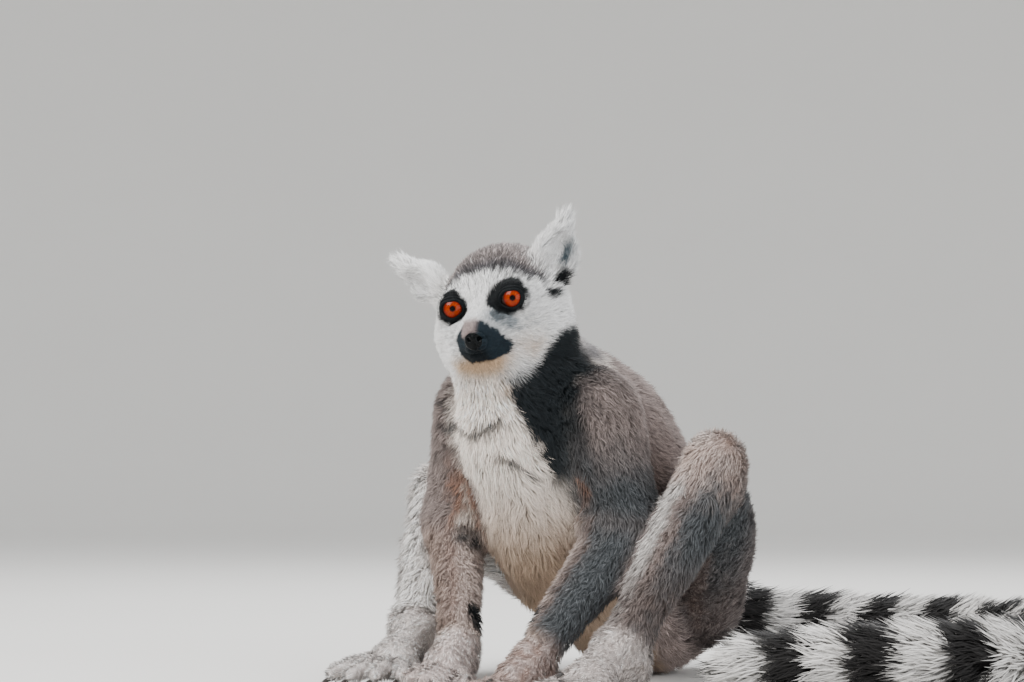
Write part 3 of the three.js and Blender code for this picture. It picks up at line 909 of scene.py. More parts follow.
def paint_head(coat, points, column):
    """White face, speckled cap, black eye patches and dark muzzle, by places in the head's axes."""
    local = in_head(points)
    x, y, z = local.T
    rough = waves(points, 6 * MM, 3)
    fine = waves(points, 2.5 * MM, 4)
    head = column["head"]
    coat = mix(coat, rgb("white"), head)
    coat *= 1.0 - (0.07 * head * np.clip(0.6 + fine, 0.0, 1.5))[:, None]
    chin = step(-25.0, -34.0, z) * step(6.0, -8.0, y) * step(30.0, 18.0, np.abs(x))
    coat = mix(coat, rgb("belly") * [1.0, 0.94, 0.80], head * chin * 0.95)
    jaw = bump(x - 23.0, 9.0) * bump(z + 27.0, 8.0) * step(20.0, 10.0, y)
    coat = mix(coat, rgb("belly") * 1.1, head * jaw * np.clip(0.58 + 0.25 * fine, 0.0, 0.8))
    nape = mix(rgb("nape"), rgb("back"), 0.4)
    coat = mix(coat, nape, head * step(34.0, 44.0, y + 2.0 * rough) * step(24.0, 6.0, z))
    near = np.clip(head + column["neck"], 0.0, 1.0) * step(50.0, 39.0, y) * step(-53.0, -49.0, z)
    coat = mix(coat, rgb("collar"), near * collar_share(local + 1.0 * rough[:, None]))
    height = cap_height(local, 1.1 * rough + 0.5 * fine)
    cap = mix(rgb("cap") * [0.34, 0.38, 0.42], rgb("cap"), step(2.5, 12.0, height))
    beside = 1.0 - 0.85 * step(28.5, 32.0, np.abs(x)) * step(38.0, 31.0, y)
    coat = mix(coat, cap, head * step(-1.3, 1.6, height) * beside)
    for drop in (12.5, 16.5):
        streak = bump(z + drop - 0.3 * (x - 20.0), 0.8) * step(15.0, 19.0, x) * step(34.0, 26.0, x)
        coat = mix(coat, rgb("haze"), head * streak * np.clip(0.4 + 0.5 * fine, 0.0, 0.8))
    for _, side in SIDES:
        haze = 1.3 * bump(x - side * 11.5, 5.5) * bump(z + 7.5, 4.5) * step(-1.0, -6.0, y)
        haze += 0.8 * bump(x - side * 16.0, 5.5) * bump(z + 13.5, 5.5) * step(4.0, -4.0, y)
        haze = haze * (0.60 + 0.40 * side) * (1.0 + 0.4 * fine)
        blue = mix(rgb("haze") * 1.3, rgb("haze") * 0.4, np.clip(haze - 0.35, 0.0, 1.0))
        coat = mix(coat, blue, head * np.clip(haze, 0.0, 0.92))
        spot = np.linalg.norm((local - [side * 32.4, 23.0, 0.6]) / [3.3, 8.0, 4.2], axis=1)
        coat = mix(coat, rgb("black"), step(1.2, 0.8, spot + 0.15 * fine) * (0.5 + 0.5 * side))
        coat = mix(coat, rgb("black"), head * eye_patch(local, side, rough))
    dark = mix(rgb("muzzle"), rgb("black"), step(-22.0, -30.0, z) * step(9.0, 3.0, x) * 0.8)
    coat = mix(coat, dark, head * muzzle_share(local + 0.4 * fine[:, None]))
    bridge = step(-8.0, -5.0, x) * step(5.8, 1.4, x) * step(-21.0, -18.5, z) * step(-8.0, -11.0, z)
    coat = mix(coat, rgb("bridge"), head * bridge * step(-11.0, -13.0, y) * 0.85)
    return mix(coat, rgb("black") * 0.6, head * nose_share(local))


def along_ear(local, name):
    """Share of the way from an ear's root to its tip, and the offset from that line."""
    root, tip = (in_head(place) for place in JOINTS[f"ear_{name}"])
    along = (local - root) @ (tip - root) / ((tip - root) @ (tip - root))
    return along, local - root - along[:, None] * (tip - root)


def paint_ears(coat, points, normals, column):
    """White ears, the left one with a blue-grey hollow and a black notch in view."""
    local = in_head(points)
    facing = -(normals @ HEAD_AXES.T)[:, 1]
    for name, side in SIDES:
        along, offset = along_ear(local, name)
        ear = column[f"ear_{name}"]
        coat = mix(coat, rgb("white") * 1.09, ear)
        # painted shade: the inside of each ear is painted blue-grey, much more on the left ear, which lies
        # in shade
        strength = 0.6 + 0.35 * side
        shaded_hollow = step(-0.1, 0.3, facing) * bump(along - 0.40, 0.26) * bump(side * offset[:, 0] - 4.6, 3.2)
        coat = mix(coat, rgb("haze") * 0.7, np.clip(1.4 * ear * shaded_hollow * strength, 0.0, 1.0))
        over, _, up = (local - [side * 38.6, 29.0, 11.6]).T
        slant = np.hypot((up + side * over) / 9.2, (up - side * over) / 4.8)
        notch = step(1.15, 0.85, slant) * step(-0.2, 0.2, facing)
        coat = mix(coat, rgb("black"), notch * (0.5 + 0.5 * side))
    return coat


def paint_trunk(points, normals, column):
    """Grey-brown back, cream front and a charcoal band from the neck to the armpit.

    Heights are over the floor and sides are from the midline, both in millimetres."""
    rough = waves(points, 22 * MM, 5)
    fine = waves(points, 7 * MM, 6)
    height = points[:, 2] / MM
    side = (points[:, 0] - MIDLINE) / MM
    coat = np.tile(rgb("back"), (len(points), 1)) * (1.0 + 0.10 * rough + 0.06 * fine)[:, None]
    # painted light: the trunk is painted lighter towards the floor, to lift the shade round the thighs
    coat *= 1.0 + 0.6 * step(70.0, 40.0, height)[:, None]
    front = frontness(points) + 0.05 * rough
    cream = mix(rgb("chest"), rgb("belly"), 0.90 * step(124.0, 66.0, height))
    # painted shade: a brownish-grey patch beside the throat, in the creases below the chin
    throat_shade = bump(side - 16.0, 8.0) * step(158.0, 168.0, height) * step(-0.2, -0.4, normals[:, 1])
    coat = mix(coat, cream, step(0.18, 0.42, front) * step(46.0, 36.0, np.abs(side)))
    inner = 25.0 - 10.0 * step(135.0, 165.0, height) + 2.0 * fine
    pale = step(0.0, -0.3, normals[:, 1] + 0.1 * fine) * step(2.0, -2.0, side - inner)
    throat = mix(rgb("chest"), rgb("belly") * 0.8, throat_shade * np.clip(0.55 + 0.5 * fine, 0.0, 1.0))
    coat = mix(coat, mix(rgb("nape"), throat, pale), column["neck"])
    band = sum(column[name] for name in ("head", "neck", "trunk", "upper_arm_left", "upper_arm_right"))
    behind = step(0.8, 0.3, normals[:, 1]) * step(108.0, 124.0, height)
    behind = behind * step(-56.0 * MM, -71.0 * MM, points[:, 1])
    left = step(-2.0, 2.0, side - inner) * step(70.0, 38.0, side + 5.0 * rough)
    right = 0.8 * step(30.0, 40.0, -side) * step(70.0, 52.0, -side) * np.clip(0.45 + 0.6 * fine, 0.0, 1.0)
    coat = mix(coat, rgb("collar"), np.clip(band * behind * (left + right), 0.0, 1.0))
    # painted shade: the creases across the chest and beside the throat are painted dark
    painted_fold_shade = np.clip(1.2 * chest_folds(points) * step(0.1, 0.5, front), 0.0, 0.95)
    return mix(coat, rgb("outer_limb") * 0.6, painted_fold_shade)


def chest_folds(points):
    """One along the creases across the upper chest and beside the throat."""
    height = points[:, 2] / MM
    side = (points[:, 0] - MIDLINE) / MM
    bend = waves(points, 20 * MM, 12)
    across = bump(height - 146.0 - 2.5 * np.sin(side / 7.0) - bend, 2.3) * step(16.0, 8.0, side)
    slanted = bump(height - 137.0 + 0.9 * side - 2.0 * bend, 2.3) * step(24.0, 18.0, side)
    return across * step(-48.0, -38.0, side) + slanted * step(2.0, 8.0, side)


def limb_colour(part, turn, place_y, place_z, inside, fine):
    """Colour of an upper arm, forearm, thigh or shin, by how far each point faces inwards."""
    inner, rust = {"upper_arm": ("chest", 0.7), "forearm": ("inner_arm", 0.15)}.get(
        part, ("inner_leg", 0.15))
    lighter = 0.0 if part == "upper_arm" else 0.3
    outer = rgb("outer_limb") * (1.0 + 0.18 * fine + lighter)[:, None]
    if part == "thigh":
        outer = mix(outer, rgb("back") * 0.85, 0.8 * step(-8 * MM, 34 * MM, place_y))
    # the right arm is browner outside than the left, and painted light: lighter there, on the side of the
    # main light
    if turn < 0 and part == "forearm":
        outer = mix(outer, rgb("inner_arm") * [0.80, 0.74, 0.70], 0.9)
    if turn < 0 and part == "upper_arm":
        outer = mix(outer, rgb("back"), 0.85)
    # painted light: the inside of the right leg is painted lighter than the left, which lies in shade, and
    # the right arm browner
    pale = rgb(inner) * ((0.91 - 0.19 * turn) if inner == "inner_leg" else 1.0)
    browner = 0.2 if turn > 0 and inner != "inner_leg" else 0.55
    limb = mix(outer, rgb("back"), browner * step(-0.6, 0.2, inside))
    limb = mix(limb, pale, step(0.05, 0.75, inside))
    limb = mix(limb, rgb("rust"), rust * bump(inside - 0.20, 0.18))
    if part == "shin":
        low = step(82 * MM, 48 * MM, place_z) * step(-0.5, 0.5, turn)
        limb = mix(limb, rgb("back") * 0.55, 0.8 * low * (1.0 + 0.3 * fine))
    return limb


def paint_limbs(coat, points, normals, column):
    """Grey outside, pale inside and front, with rusty edges, and pale hands and feet."""
    rough = waves(points, 22 * MM, 7)
    fine = waves(points, 8 * MM, 8)
    for name, turn in SIDES:
        front_of_leg = 0.70 - 0.25 * turn
        forwards = {"upper_arm": -0.25, "forearm": 0.02, "thigh": front_of_leg, "shin": front_of_leg}
        for part, forward in forwards.items():
            start, end = JOINTS[f"{part}_{name}"]
            inside = limb_inside(normals, start, end, turn, forward) + 0.10 * rough + 0.10 * fine
            limb = limb_colour(part, turn, points[:, 1], points[:, 2], inside, fine)
            share_here = column[f"{part}_{name}"]
            if part == "upper_arm":
                share_here = share_here * step(152 * MM, 108 * MM, points[:, 2] + 3 * MM * rough)
            coat = mix(coat, limb, share_here)
        knee = JOINTS[f"shin_{name}"][0] + [0.0, 0.0, 10 * MM]
        away = np.linalg.norm(points - knee, axis=1)
        cap = mix(rgb("inner_leg"), rgb("rust"), 0.32 + 0.24 * turn + 0.12 * rough)
        legs = column[f"thigh_{name}"] + column[f"shin_{name}"]
        coat = mix(coat, cap, 0.9 * legs * step(40 * MM, 12 * MM, away + 5 * MM * fine))
        # painted light: the right hand and foot are painted lighter, with fewer brown streaks, than the left
        # ones, which lie in shade
        streaks = np.clip(0.28 + 0.30 * fine + 0.26 * turn, 0.0, 0.75)
        brown = mix(rgb("rust"), rgb("back"), 0.5)
        hand = mix(rgb("hand") * (1.20 - 0.08 * turn), brown, streaks)
        foot = mix(rgb("hand") * [1.28, 1.37, 1.39] * (1.0 - 0.07 * turn), brown, 0.35 * streaks)
        coat = mix(coat, hand, column[f"hand_{name}"])
        coat = mix(coat, foot, column[f"foot_{name}"])
        gland = JOINTS[f"hand_{name}"][0] + [-turn * 7 * MM, 5 * MM, 11 * MM]
        spot = step(9 * MM, 5 * MM, np.linalg.norm((points - gland) * [1.0, 1.0, 0.7], axis=1))
        coat = mix(coat, rgb("collar"), spot * column[f"forearm_{name}"])
        # painted shade: a dark patch in the crook of the right elbow
        elbow = JOINTS[f"forearm_{name}"][0] + [-turn * 20 * MM, -15 * MM, -5 * MM]
        elbow_crook_shade = step(13 * MM, 5 * MM, np.linalg.norm(points - elbow, axis=1)) * step(0.5, -0.5, turn)
        arm = column[f"forearm_{name}"] + column[f"upper_arm_{name}"]
        coat = mix(coat, rgb("outer_limb") * 0.6, elbow_crook_shade * arm * np.clip(0.75 + 0.4 * fine, 0.0, 1.0))
    return coat


def paint_tail(coat, points, column):
    """Thirteen pairs of rings and a dark tip."""
    along = along_tail(points)[0] + 2.0 * MM * waves(points, 11 * MM, 9)
    tip = TAIL_ALONG[-1] - 24 * MM
    turn = np.mod(along / (tip / 12.5), 1.0)
    light = step(0.0, 0.07, turn) * step(0.53, 0.46, turn) * step(tip + 4 * MM, tip, along)
    rings = mix(rgb("tail_dark"), rgb("tail_light"), light)
    return mix(coat, rings, sum(column[name] for name in TAIL))


def markings(points, normals, parts):
    """Colour of the coat and skin at each point."""
    column = dict(zip(FLESH, parts.T))
    coat = paint_trunk(points, normals, column)
    coat = paint_limbs(coat, points, normals, column)
    coat = paint_tail(coat, points, column)
    coat = paint_head(coat, points, column)
    return np.clip(paint_ears(coat, points, normals, column), 0.002, 1.0)


def hair_factor(local):
    """How much longer or shorter the hair is than its stretch says, on the head."""
    factor = np.ones(len(local))
    behind_cheek = np.linalg.norm(local - [38.0, 24.0, 3.0], axis=1)
    for name, side in SIDES:
        along, offset = along_ear(local, name)
        # longer at the tips of the ears and behind the left cheek, shorter round the eyes
        factor += 0.7 * step(0.62, 0.95, along) * step(22.0, 14.0, np.linalg.norm(offset, axis=1))
        factor += 0.45 * (1.0 + side) * bump(behind_cheek, 8.0)
        _, distance, _, _ = round_the_eye(local, side)
        factor -= 0.35 * step(15.0, 9.0, distance) * step(10.0, 4.0, local[:, 1])
    return factor * (1.0 - 0.4 * muzzle_share(local))


def bare_share(local):
    """One where no coat grows: the lids and the nose pad."""
    bare = nose_share(local)
    for _, side in SIDES:
        height, distance, _, _ = round_the_eye(local, side)
        bare = np.maximum(bare, step(8.0, 7.0, distance) * step(-6.0, -3.0, height))
    return np.clip(bare, 0.0, 1.0)


# how firmly a stretch of the skin is smoothed, where it isn't fully
FIRM = {"face": 0.7, "head": 0.9, "ear": 0.35, "hand": 0.4}
# share of the hair's length at which the markings are looked up
SHOWN = 0.45


def shape_skin(solids):
    """Draws the skin and gives it its face: its mesh, the net of its edges, and its points."""
    points, quads = largest_island(*draw_skin(solids))
    mesh = make_mesh("lemur_skin", points, quads, 4)
    firm = stretch_shares(points, solids.parts(points)) @ [FIRM.get(name, 1.0) for name in STRETCHES]
    points = smooth_points(points, Net(mesh), firm[:, None], settings().skin.smoothing)
    mesh.vertices.foreach_set("co", points.astype(np.float32).ravel())
    refine_face(mesh)
    net = Net(mesh)
    points = vertex_points(mesh)
    local = in_head(points)
    face = face_share(local) * (np.linalg.norm(local, axis=1) < 60.0)
    points = shape_head(smooth_points(points, net, face[:, None], 6))
    mesh.vertices.foreach_set("co", points.astype(np.float32).ravel())
    mesh.update()
    return mesh, net, points


def make_skin():
    """The skin, which keeps on it all that the coat needs to know."""
    solids = Solids()
    mesh, net, points = shape_skin(solids)
    normals = vertex_normals(mesh)
    # shares in the solids blend over the cuts between them
    parts = net.spread(solids.parts(points), 22)
    column = dict(zip(FLESH, parts.T))
    shares = stretch_shares(points, parts)
    local = in_head(points)
    chest = shares[:, list(STRETCHES).index("chest")]
    shorter = 1.0 - 0.6 * chest * np.clip(chest_folds(points - [0.0, 0.0, 5.0 * MM]), 0.0, 1.0)
    full = 1.0 + 0.55 * (column["thigh_right"] + column["shin_right"])
    bare = bare_share(local) * column["head"]
    store(mesh, "lie", lie_of_coat(points, normals, parts, net))
    for key in COAT_KEYS:
        store(mesh, key, coat_value(shares, key))
    store(mesh, "hair", coat_value(shares, "hair") * hair_factor(local) * shorter * full)
    store(mesh, "bare", bare)
    store(mesh, "wet", nose_share(local) * column["head"])
    # hair shows the colour of a place some way along it
    shown = points + recall(mesh, "lie") * (SHOWN * recall(mesh, "hair") * (1.0 - bare))[:, None]
    coat = markings(shown, normals, parts)
    paws = sum(column[f"{paw}_{name}"] for paw in ("hand", "foot") for name, _ in SIDES)
    # painted shade: the hollows between the digits are painted darker
    shaded_hollow = dot(net.spread(points, 16) - points, normals)
    coat *= 1.0 - (0.85 * paws * step(0.05 * MM, 0.6 * MM, shaded_hollow))[:, None]
    store_colour(mesh, coat)
    store(mesh, "stretch", shares.argmax(1).astype(np.float32))
    store(mesh, "part", parts.argmax(1).astype(np.float32))
    return mesh


def unwrap_skin(piece):
    """Unwraps the skin's own shape, for the places of the tufts in their patches."""
    piece.data.uv_layers.new(name="OFBake")
    bpy.context.view_layer.objects.active = piece
    piece.select_set(True)
    bpy.ops.object.mode_set(mode="EDIT")
    bpy.ops.mesh.select_all(action="SELECT")
    bpy.ops.uv.smart_project(angle_limit=math.radians(78.0), island_margin=0.0005)
    bpy.ops.object.mode_set(mode="OBJECT")
    piece.select_set(False)


# ------------------------------------------------------------------ the coat


class Skin:
    """The finished skin as arrays."""

    def __init__(self):
        """Reads the triangles of the skin and the values kept on it."""
        mesh = bpy.data.objects["lemur_skin"].data
        mesh.calc_loop_triangles()
        loops = pull(mesh.loop_triangles, "loops", 3, np.int32)
        self.corners = pull(mesh.loop_triangles, "vertices", 3, np.int32)
        self.uv = pull(mesh.uv_layers["OFBake"].uv, "vector", 2)[loops]
        self.points = vertex_points(mesh)
        self.normals = vertex_normals(mesh)
        keys = ("lie", *COAT_KEYS, "bare", "coat_colour", "stretch", "part")
        self.values = {key: recall(mesh, key) for key in keys}
        a, b, c = (self.points[self.corners[:, k]] for k in range(3))
        self.area = np.linalg.norm(np.cross(b - a, c - a), axis=1) / 2
        self.centres = (a + b + c) / 3

    def parts_of(self, *names):
        """Triangles that belong to these parts of the body."""
        part = self.values["part"][self.corners[:, 0]].astype(int)
        return np.isin(part, [FLESH.index(name) for name in names])

    def stretches_of(self, *names):
        """Triangles that belong to these stretches of the coat."""
        stretch = self.values["stretch"][self.corners[:, 0]].astype(int)
        return np.isin(stretch, [list(STRETCHES).index(name) for name in names])

    def roots(self, chosen, rng):
        """Evenly spread places on the chosen triangles, with what the skin says there."""
        spacing = self.values["spacing"][self.corners].mean(1)
        bare = self.values["bare"][self.corners].mean(1)
        wanted = np.where(chosen, self.area / spacing ** 2 * (1.0 - bare), 0.0)
        total = np.cumsum(wanted)
        count = int(total[-1])
        picked = np.searchsorted(total, (np.arange(count) + rng.random(count)) * total[-1] / count)
        picked = np.minimum(picked, len(total) - 1)
        first, second = rng.random((2, count))
        over = first + second > 1.0
        first = np.where(over, 1.0 - first, first)
        second = np.where(over, 1.0 - second, second)
        weights = np.stack([1.0 - first - second, first, second], 1)

        def read(values):
            """Values of the corners, mixed by how near each corner is."""
            return np.einsum("nk,nk...->n...", weights, values)

        corners = self.corners[picked]
        found = {key: read(values[corners]) for key, values in self.values.items()}
        found["place"] = read(self.points[corners])
        found["normal"] = unit(read(self.normals[corners]))
        found["uv"] = read(self.uv[picked])
        found["lie"] = unit(found["lie"] - found["normal"] * dot(found["lie"], found["normal"])[:, None])
        return found


def turned(vectors, axes, angles):
    """Vectors turned round axes at right angles to them."""
    return vectors * np.cos(angles)[:, None] + np.cross(axes, vectors) * np.sin(angles)[:, None]


def lock_numbers(places, normals, size, spacing, rng):
    """Parts the roots into locks about a size across: the lock of each, and the root it is led by."""
    keys = places + normals * 3.0 * MM
    count = max(1, int(len(places) * min(1.0, (spacing / size) ** 2)))
    leaders = rng.permutation(len(places))[:count]
    tree = KDTree(count)
    for number, leader in enumerate(leaders.tolist()):
        tree.insert(keys[leader], number)
    tree.balance()
    return np.array([tree.find(key)[1] for key in keys.tolist()]), leaders


# how deep a tuft is rooted, and each half of it: how far up its bend is taken, and its length
ROOTED = 0.35 * MM
HALVES = ((0.25, 0.42), (0.75, 0.58))
# a tuft is a spike on a spike: its root, the three corners at its widest, and its tip
TUFT = np.array([(0, 3, 2), (0, 1, 3), (0, 2, 1), (2, 3, 4), (3, 1, 4), (1, 2, 4)])
TUFT_ALONG = np.array([0.0, 0.42, 0.42, 0.42, 1.0])
TUFT_ACROSS = np.array([0.0, 1.0, -1.0, 0.0, 0.0])
# size of a tuft's patch in the unwrap
PATCH = 0.003


def grow(roots, rng, lock_size=4.5, speckle=0.16):
    """Closed, pointed tufts: points, triangles, normals, colours, share along, and UV patches."""
    start = roots["place"]
    normal = roots["normal"]
    stray = roots["scatter"]
    count = len(start)
    number, first = lock_numbers(start, normal, lock_size * MM, roots["spacing"].mean(), rng)
    lock_turn = rng.normal(size=len(first))[number] * stray * 0.55
    lock_lift = rng.normal(size=len(first))[number] * stray * 0.35
    lie = turned(roots["lie"], normal, lock_turn + rng.normal(size=count) * stray * 0.65)
    steeper = np.clip(1.0 + lock_lift + rng.normal(size=count) * stray * 0.55, 0.15, 2.0)
    lift = roots["lift"] * steeper
    hair = roots["hair"] * rng.uniform(0.72, 1.18, count)
    drawn = roots["locks"] * rng.uniform(0.4, 1.0, count)
    ends = []
    place_now = start
    for share_along, part in HALVES:
        climb = lift * (1.35 - 1.15 * share_along)
        way = lie * np.cos(climb)[:, None] + normal * np.sin(climb)[:, None]
        place_now = place_now + way * (hair * part)[:, None]
        pull_in = 0.75 * (drawn * (share_along + 0.25) ** 1.5)[:, None]
        ends.append(place_now + pull_in * (place_now[first][number] - place_now))
    width = (roots["width"] * rng.uniform(0.75, 1.2, count) / 2)[:, None]
    side = turned(np.cross(lie, normal), lie, rng.normal(size=count) * 0.5)
    up = unit(np.cross(side, lie))
    widest, tip = ends
    points = np.stack([start - normal * ROOTED,
                       widest + side * width - up * 0.35 * width,
                       widest - side * width - up * 0.35 * width,
                       widest + up * 0.55 * width, tip], 1)
    each = len(TUFT_ALONG)
    triangles = (TUFT[None] + (np.arange(count) * each)[:, None, None]).reshape(-1, 3)
    points = points.reshape(-1, 3)
    points[:, 2] = np.maximum(points[:, 2], 0.3 * MM)
    tint = roots["coat_colour"][:, :3] * np.exp(rng.normal(size=count) * speckle)[:, None]
    patch = np.column_stack([TUFT_ACROSS * PATCH / 2, (TUFT_ALONG - 0.5) * PATCH])
    return {
        "points": points, "triangles": triangles,
        "normals": np.repeat(normal, each, 0),
        "colour": np.repeat(np.clip(tint, 0.0015, 1.0), each, 0),
        "along": np.tile(TUFT_ALONG, count),
        "uv": (roots["uv"][:, None] + patch).reshape(-1, 2),
    }


def coat_piece(skin, name, chosen, seed, material, slot, **style):
    """Makes one piece of the coat: its tufts grow on the chosen triangles of the skin."""
    rng = np.random.default_rng(seed)
    made = grow(skin.roots(chosen, rng), rng, **style)
    mesh = make_mesh(name, made["points"], made["triangles"], 3)
    store_colour(mesh, made["colour"])
    store(mesh, "along", made["along"])
    corners = made["triangles"].ravel()
    layer = mesh.uv_layers.new(name="OFBake")
    layer.uv.foreach_set("vector", made["uv"][corners].astype(np.float32).ravel())
    facing = np.repeat(pull(mesh.polygons, "normal", 3).astype(float), 3, 0)
    blended = unit(0.78 * made["normals"][corners] + 0.22 * facing)
    mesh.normals_split_custom_set(blended.astype(np.float32))
    mesh.materials.append(material)
    place(name, mesh, slot)


# ------------------------------------------------------------------ materials


def shader_group(name, inputs, outputs):
    """An empty node group with named sockets, and its input and output nodes."""
    group = bpy.data.node_groups.new(name, "ShaderNodeTree")
    for label, kind, value in inputs:
        socket = group.interface.new_socket(label, in_out="INPUT", socket_type="NodeSocket" + kind)
        if value is not None:
            socket.default_value = value
    for label, kind in outputs:
        group.interface.new_socket(label, in_out="OUTPUT", socket_type="NodeSocket" + kind)
    return group, group.nodes.new("NodeGroupInput"), group.nodes.new("NodeGroupOutput")


def feed(made, **sockets):
    """Links or sets sockets of a node, by name or, as i0, i1 and so on, by number."""
    for key, value in sockets.items():
        numbered = key[0] == "i" and key[1:].isdigit()
        socket = made.inputs[int(key[1:]) if numbered else key.replace("_", " ")]
        if isinstance(value, bpy.types.NodeSocket):
            made.id_data.links.new(value, socket)
        else:
            socket.default_value = value
    return made


def node(tree, kind, **wanted):
    """Adds a node. Keywords that it has are set on it, and the others are its sockets."""
    made = tree.nodes.new("ShaderNode" + kind)
    for key in [key for key in wanted if hasattr(made, key)]:
        setattr(made, key, wanted.pop(key))
    return feed(made, **wanted)


def painted(tree, name):
    """The node that reads a value or colour kept on the mesh."""
    return node(tree, "Attribute", attribute_name=name)


def noise(tree, scale, detail):
    """Soft noise that is fixed to the piece."""
    place_here = node(tree, "TexCoord").outputs["Object"]
    return node(tree, "TexNoise", Vector=place_here, Scale=scale, Detail=detail).outputs[0]


def spread_to(tree, value, low, high):
    """The middle of a noise's range, spread out from low to high."""
    return node(tree, "MapRange", Value=value, i1=0.3, i2=0.7, i3=low, i4=high).outputs[0]


def coat_shade_group():
    """Darkens roots, lightens tips and adds the fine speckle of banded hair."""
    group, given, result = shader_group(
        "Coat shade",
        [("Colour", "Color", (0.5, 0.5, 0.5, 1.0)), ("Along", "Float", 0.5),
         ("Root shade", "Float", 0.5), ("Tip light", "Float", 1.15),
         ("Speckle", "Float", 0.2), ("Speckle size", "Float", 900.0)],
        [("Colour", "Color"), ("Roughness", "Float")])
    asked = given.outputs
    speck = noise(group, asked["Speckle size"], 1.0)
    lighter = node(group, "Math", operation="MULTIPLY_ADD", i0=spread_to(group, speck, -1.0, 1.0),
                   i1=asked["Speckle"], i2=1.0)
    along = node(group, "MapRange", Value=asked["Along"], i1=0.0, i2=1.0, i3=asked["Root shade"],
                 i4=asked["Tip light"])
    strength = node(group, "Math", operation="MULTIPLY", i0=lighter.outputs[0], i1=along.outputs[0])
    tinted = node(group, "VectorMath", operation="SCALE", i0=asked["Colour"], Scale=strength.outputs[0])
    feed(result, Colour=tinted.outputs[0], Roughness=spread_to(group, speck, 0.62, 0.82))
    return group


def skin_grain_group():
    """Fine wrinkles and pores of bare skin, and short flat hair where there is coat."""
    group, given, result = shader_group(
        "Skin grain", [("Size", "Float", 700.0), ("Bare", "Float", 0.0), ("Depth", "Float", 1.0)],
        [("Height", "Float"), ("Roughness", "Float")])
    asked = given.outputs
    place_here = node(group, "TexCoord").outputs["Object"]
    pores = node(group, "TexVoronoi", Vector=place_here, Scale=asked["Size"])
    wrinkles = noise(group, 260.0, 4.0)
    skin = node(group, "Math", operation="MULTIPLY_ADD", i0=pores.outputs[0], i1=0.5, i2=wrinkles)
    both = node(group, "Mix", i0=asked["Bare"], i2=noise(group, 1500.0, 2.0), i3=skin.outputs[0])
    height = node(group, "Math", operation="MULTIPLY", i0=both.outputs[0], i1=asked["Depth"])
    feed(result, Height=height.outputs[0], Roughness=spread_to(group, wrinkles, 0.42, 0.62))
    return group


def new_material(name):
    """A material with a Principled shader, and its tree and shader."""
    material = bpy.data.materials.new(name)
    material.use_nodes = True
    tree = material.node_tree
    return material, tree, tree.nodes["Principled BSDF"]


def use_group(tree, name, make):
    """Places a shared group in a material's tree, making the group the first time."""
    placed = tree.nodes.new("ShaderNodeGroup")
    placed.node_tree = bpy.data.node_groups.get(name) or make()
    return placed


def coat_material(name, root_shade, tip_light, speckle, sheen):
    """Hair of one kind: its colour comes from the markings, its shading runs along each tuft."""
    found = bpy.data.materials.get(name)
    if found is not None:
        return found
    material, tree, shader = new_material(name)
    shade = feed(use_group(tree, "Coat shade", coat_shade_group),
                 Colour=painted(tree, "coat_colour").outputs["Color"],
                 Along=painted(tree, "along").outputs["Fac"],
                 Root_shade=root_shade, Tip_light=tip_light, Speckle=speckle)
    feed(shader, Base_Color=shade.outputs["Colour"], Roughness=shade.outputs["Roughness"],
         Specular_IOR_Level=0.15, Sheen_Weight=sheen, Sheen_Roughness=0.45)
    return material


def dense_coat():
    """Hair of the neck, back, arms and legs."""
    return coat_material("Dense grey coat", 0.60, 1.2, 0.16, 0.10)


def skin_material():
    """Skin under the coat, and the bare dark skin of the lids and nose."""
    material, tree, shader = new_material("Lemur skin")
    bare = painted(tree, "bare").outputs["Fac"]
    shade = feed(use_group(tree, "Coat shade", coat_shade_group),
                 Colour=painted(tree, "coat_colour").outputs["Color"],
                 Along=0.5, Root_shade=0.62, Tip_light=1.0, Speckle=0.14)
    grain = feed(use_group(tree, "Skin grain", skin_grain_group), Bare=bare)
    dry = node(tree, "Mix", i0=bare, i2=shade.outputs["Roughness"], i3=grain.outputs["Roughness"])
    rough = node(tree, "Mix", i0=painted(tree, "wet").outputs["Fac"], i2=dry.outputs[0], i3=0.24)
    raised = node(tree, "Bump", Height=grain.outputs["Height"], Strength=0.55, Distance=0.0004)
    feed(shader, Base_Color=shade.outputs["Colour"], Roughness=rough.outputs[0],
         Normal=raised.outputs["Normal"], Specular_IOR_Level=0.10)
    return material


def ramp_of(tree, factor, stops):
    """A colour ramp with the given stops."""
    ramp = node(tree, "ValToRGB", Fac=factor)
    elements = ramp.color_ramp.elements
    while len(elements) < len(stops):
        elements.new(0.5)
    for element, (position, rgba) in zip(elements, stops):
        element.position = position
        element.color = (*rgba, 1.0)
    return ramp


def eye_material():
    """A wet orange eye with a small round pupil, fine spokes and a dark rim."""
    material, tree, shader = new_material("Lemur eye")
    fibres = node(tree, "TexNoise", Vector=painted(tree, "spoke").outputs["Vector"], Scale=9.0,
                  Detail=3.0).outputs[0]
    ragged = node(tree, "Math", operation="MULTIPLY_ADD", i0=fibres, i1=0.06,
                  i2=painted(tree, "from_axis").outputs["Fac"])
    iris = rgb("iris")
    ramp = ramp_of(tree, ragged.outputs[0], [
        (0.0, (0.002, 0.002, 0.002)), (0.235, (0.003, 0.002, 0.002)), (0.28, iris * [0.5, 0.3, 0.3]),
        (0.36, iris * [1.05, 1.6, 1.2]), (0.60, iris), (0.74, iris * [0.6, 0.4, 0.5]),
        (0.83, (0.02, 0.008, 0.005)), (1.0, (0.010, 0.007, 0.006))])
    tinted = node(tree, "VectorMath", operation="SCALE", i0=ramp.outputs[0],
                  Scale=spread_to(tree, fibres, 0.65, 1.3))
    feed(shader, Base_Color=tinted.outputs[0], Roughness=0.40, Specular_IOR_Level=0.0,
         Coat_Weight=0.6, Coat_Roughness=0.02, Coat_IOR=1.30)
    return material


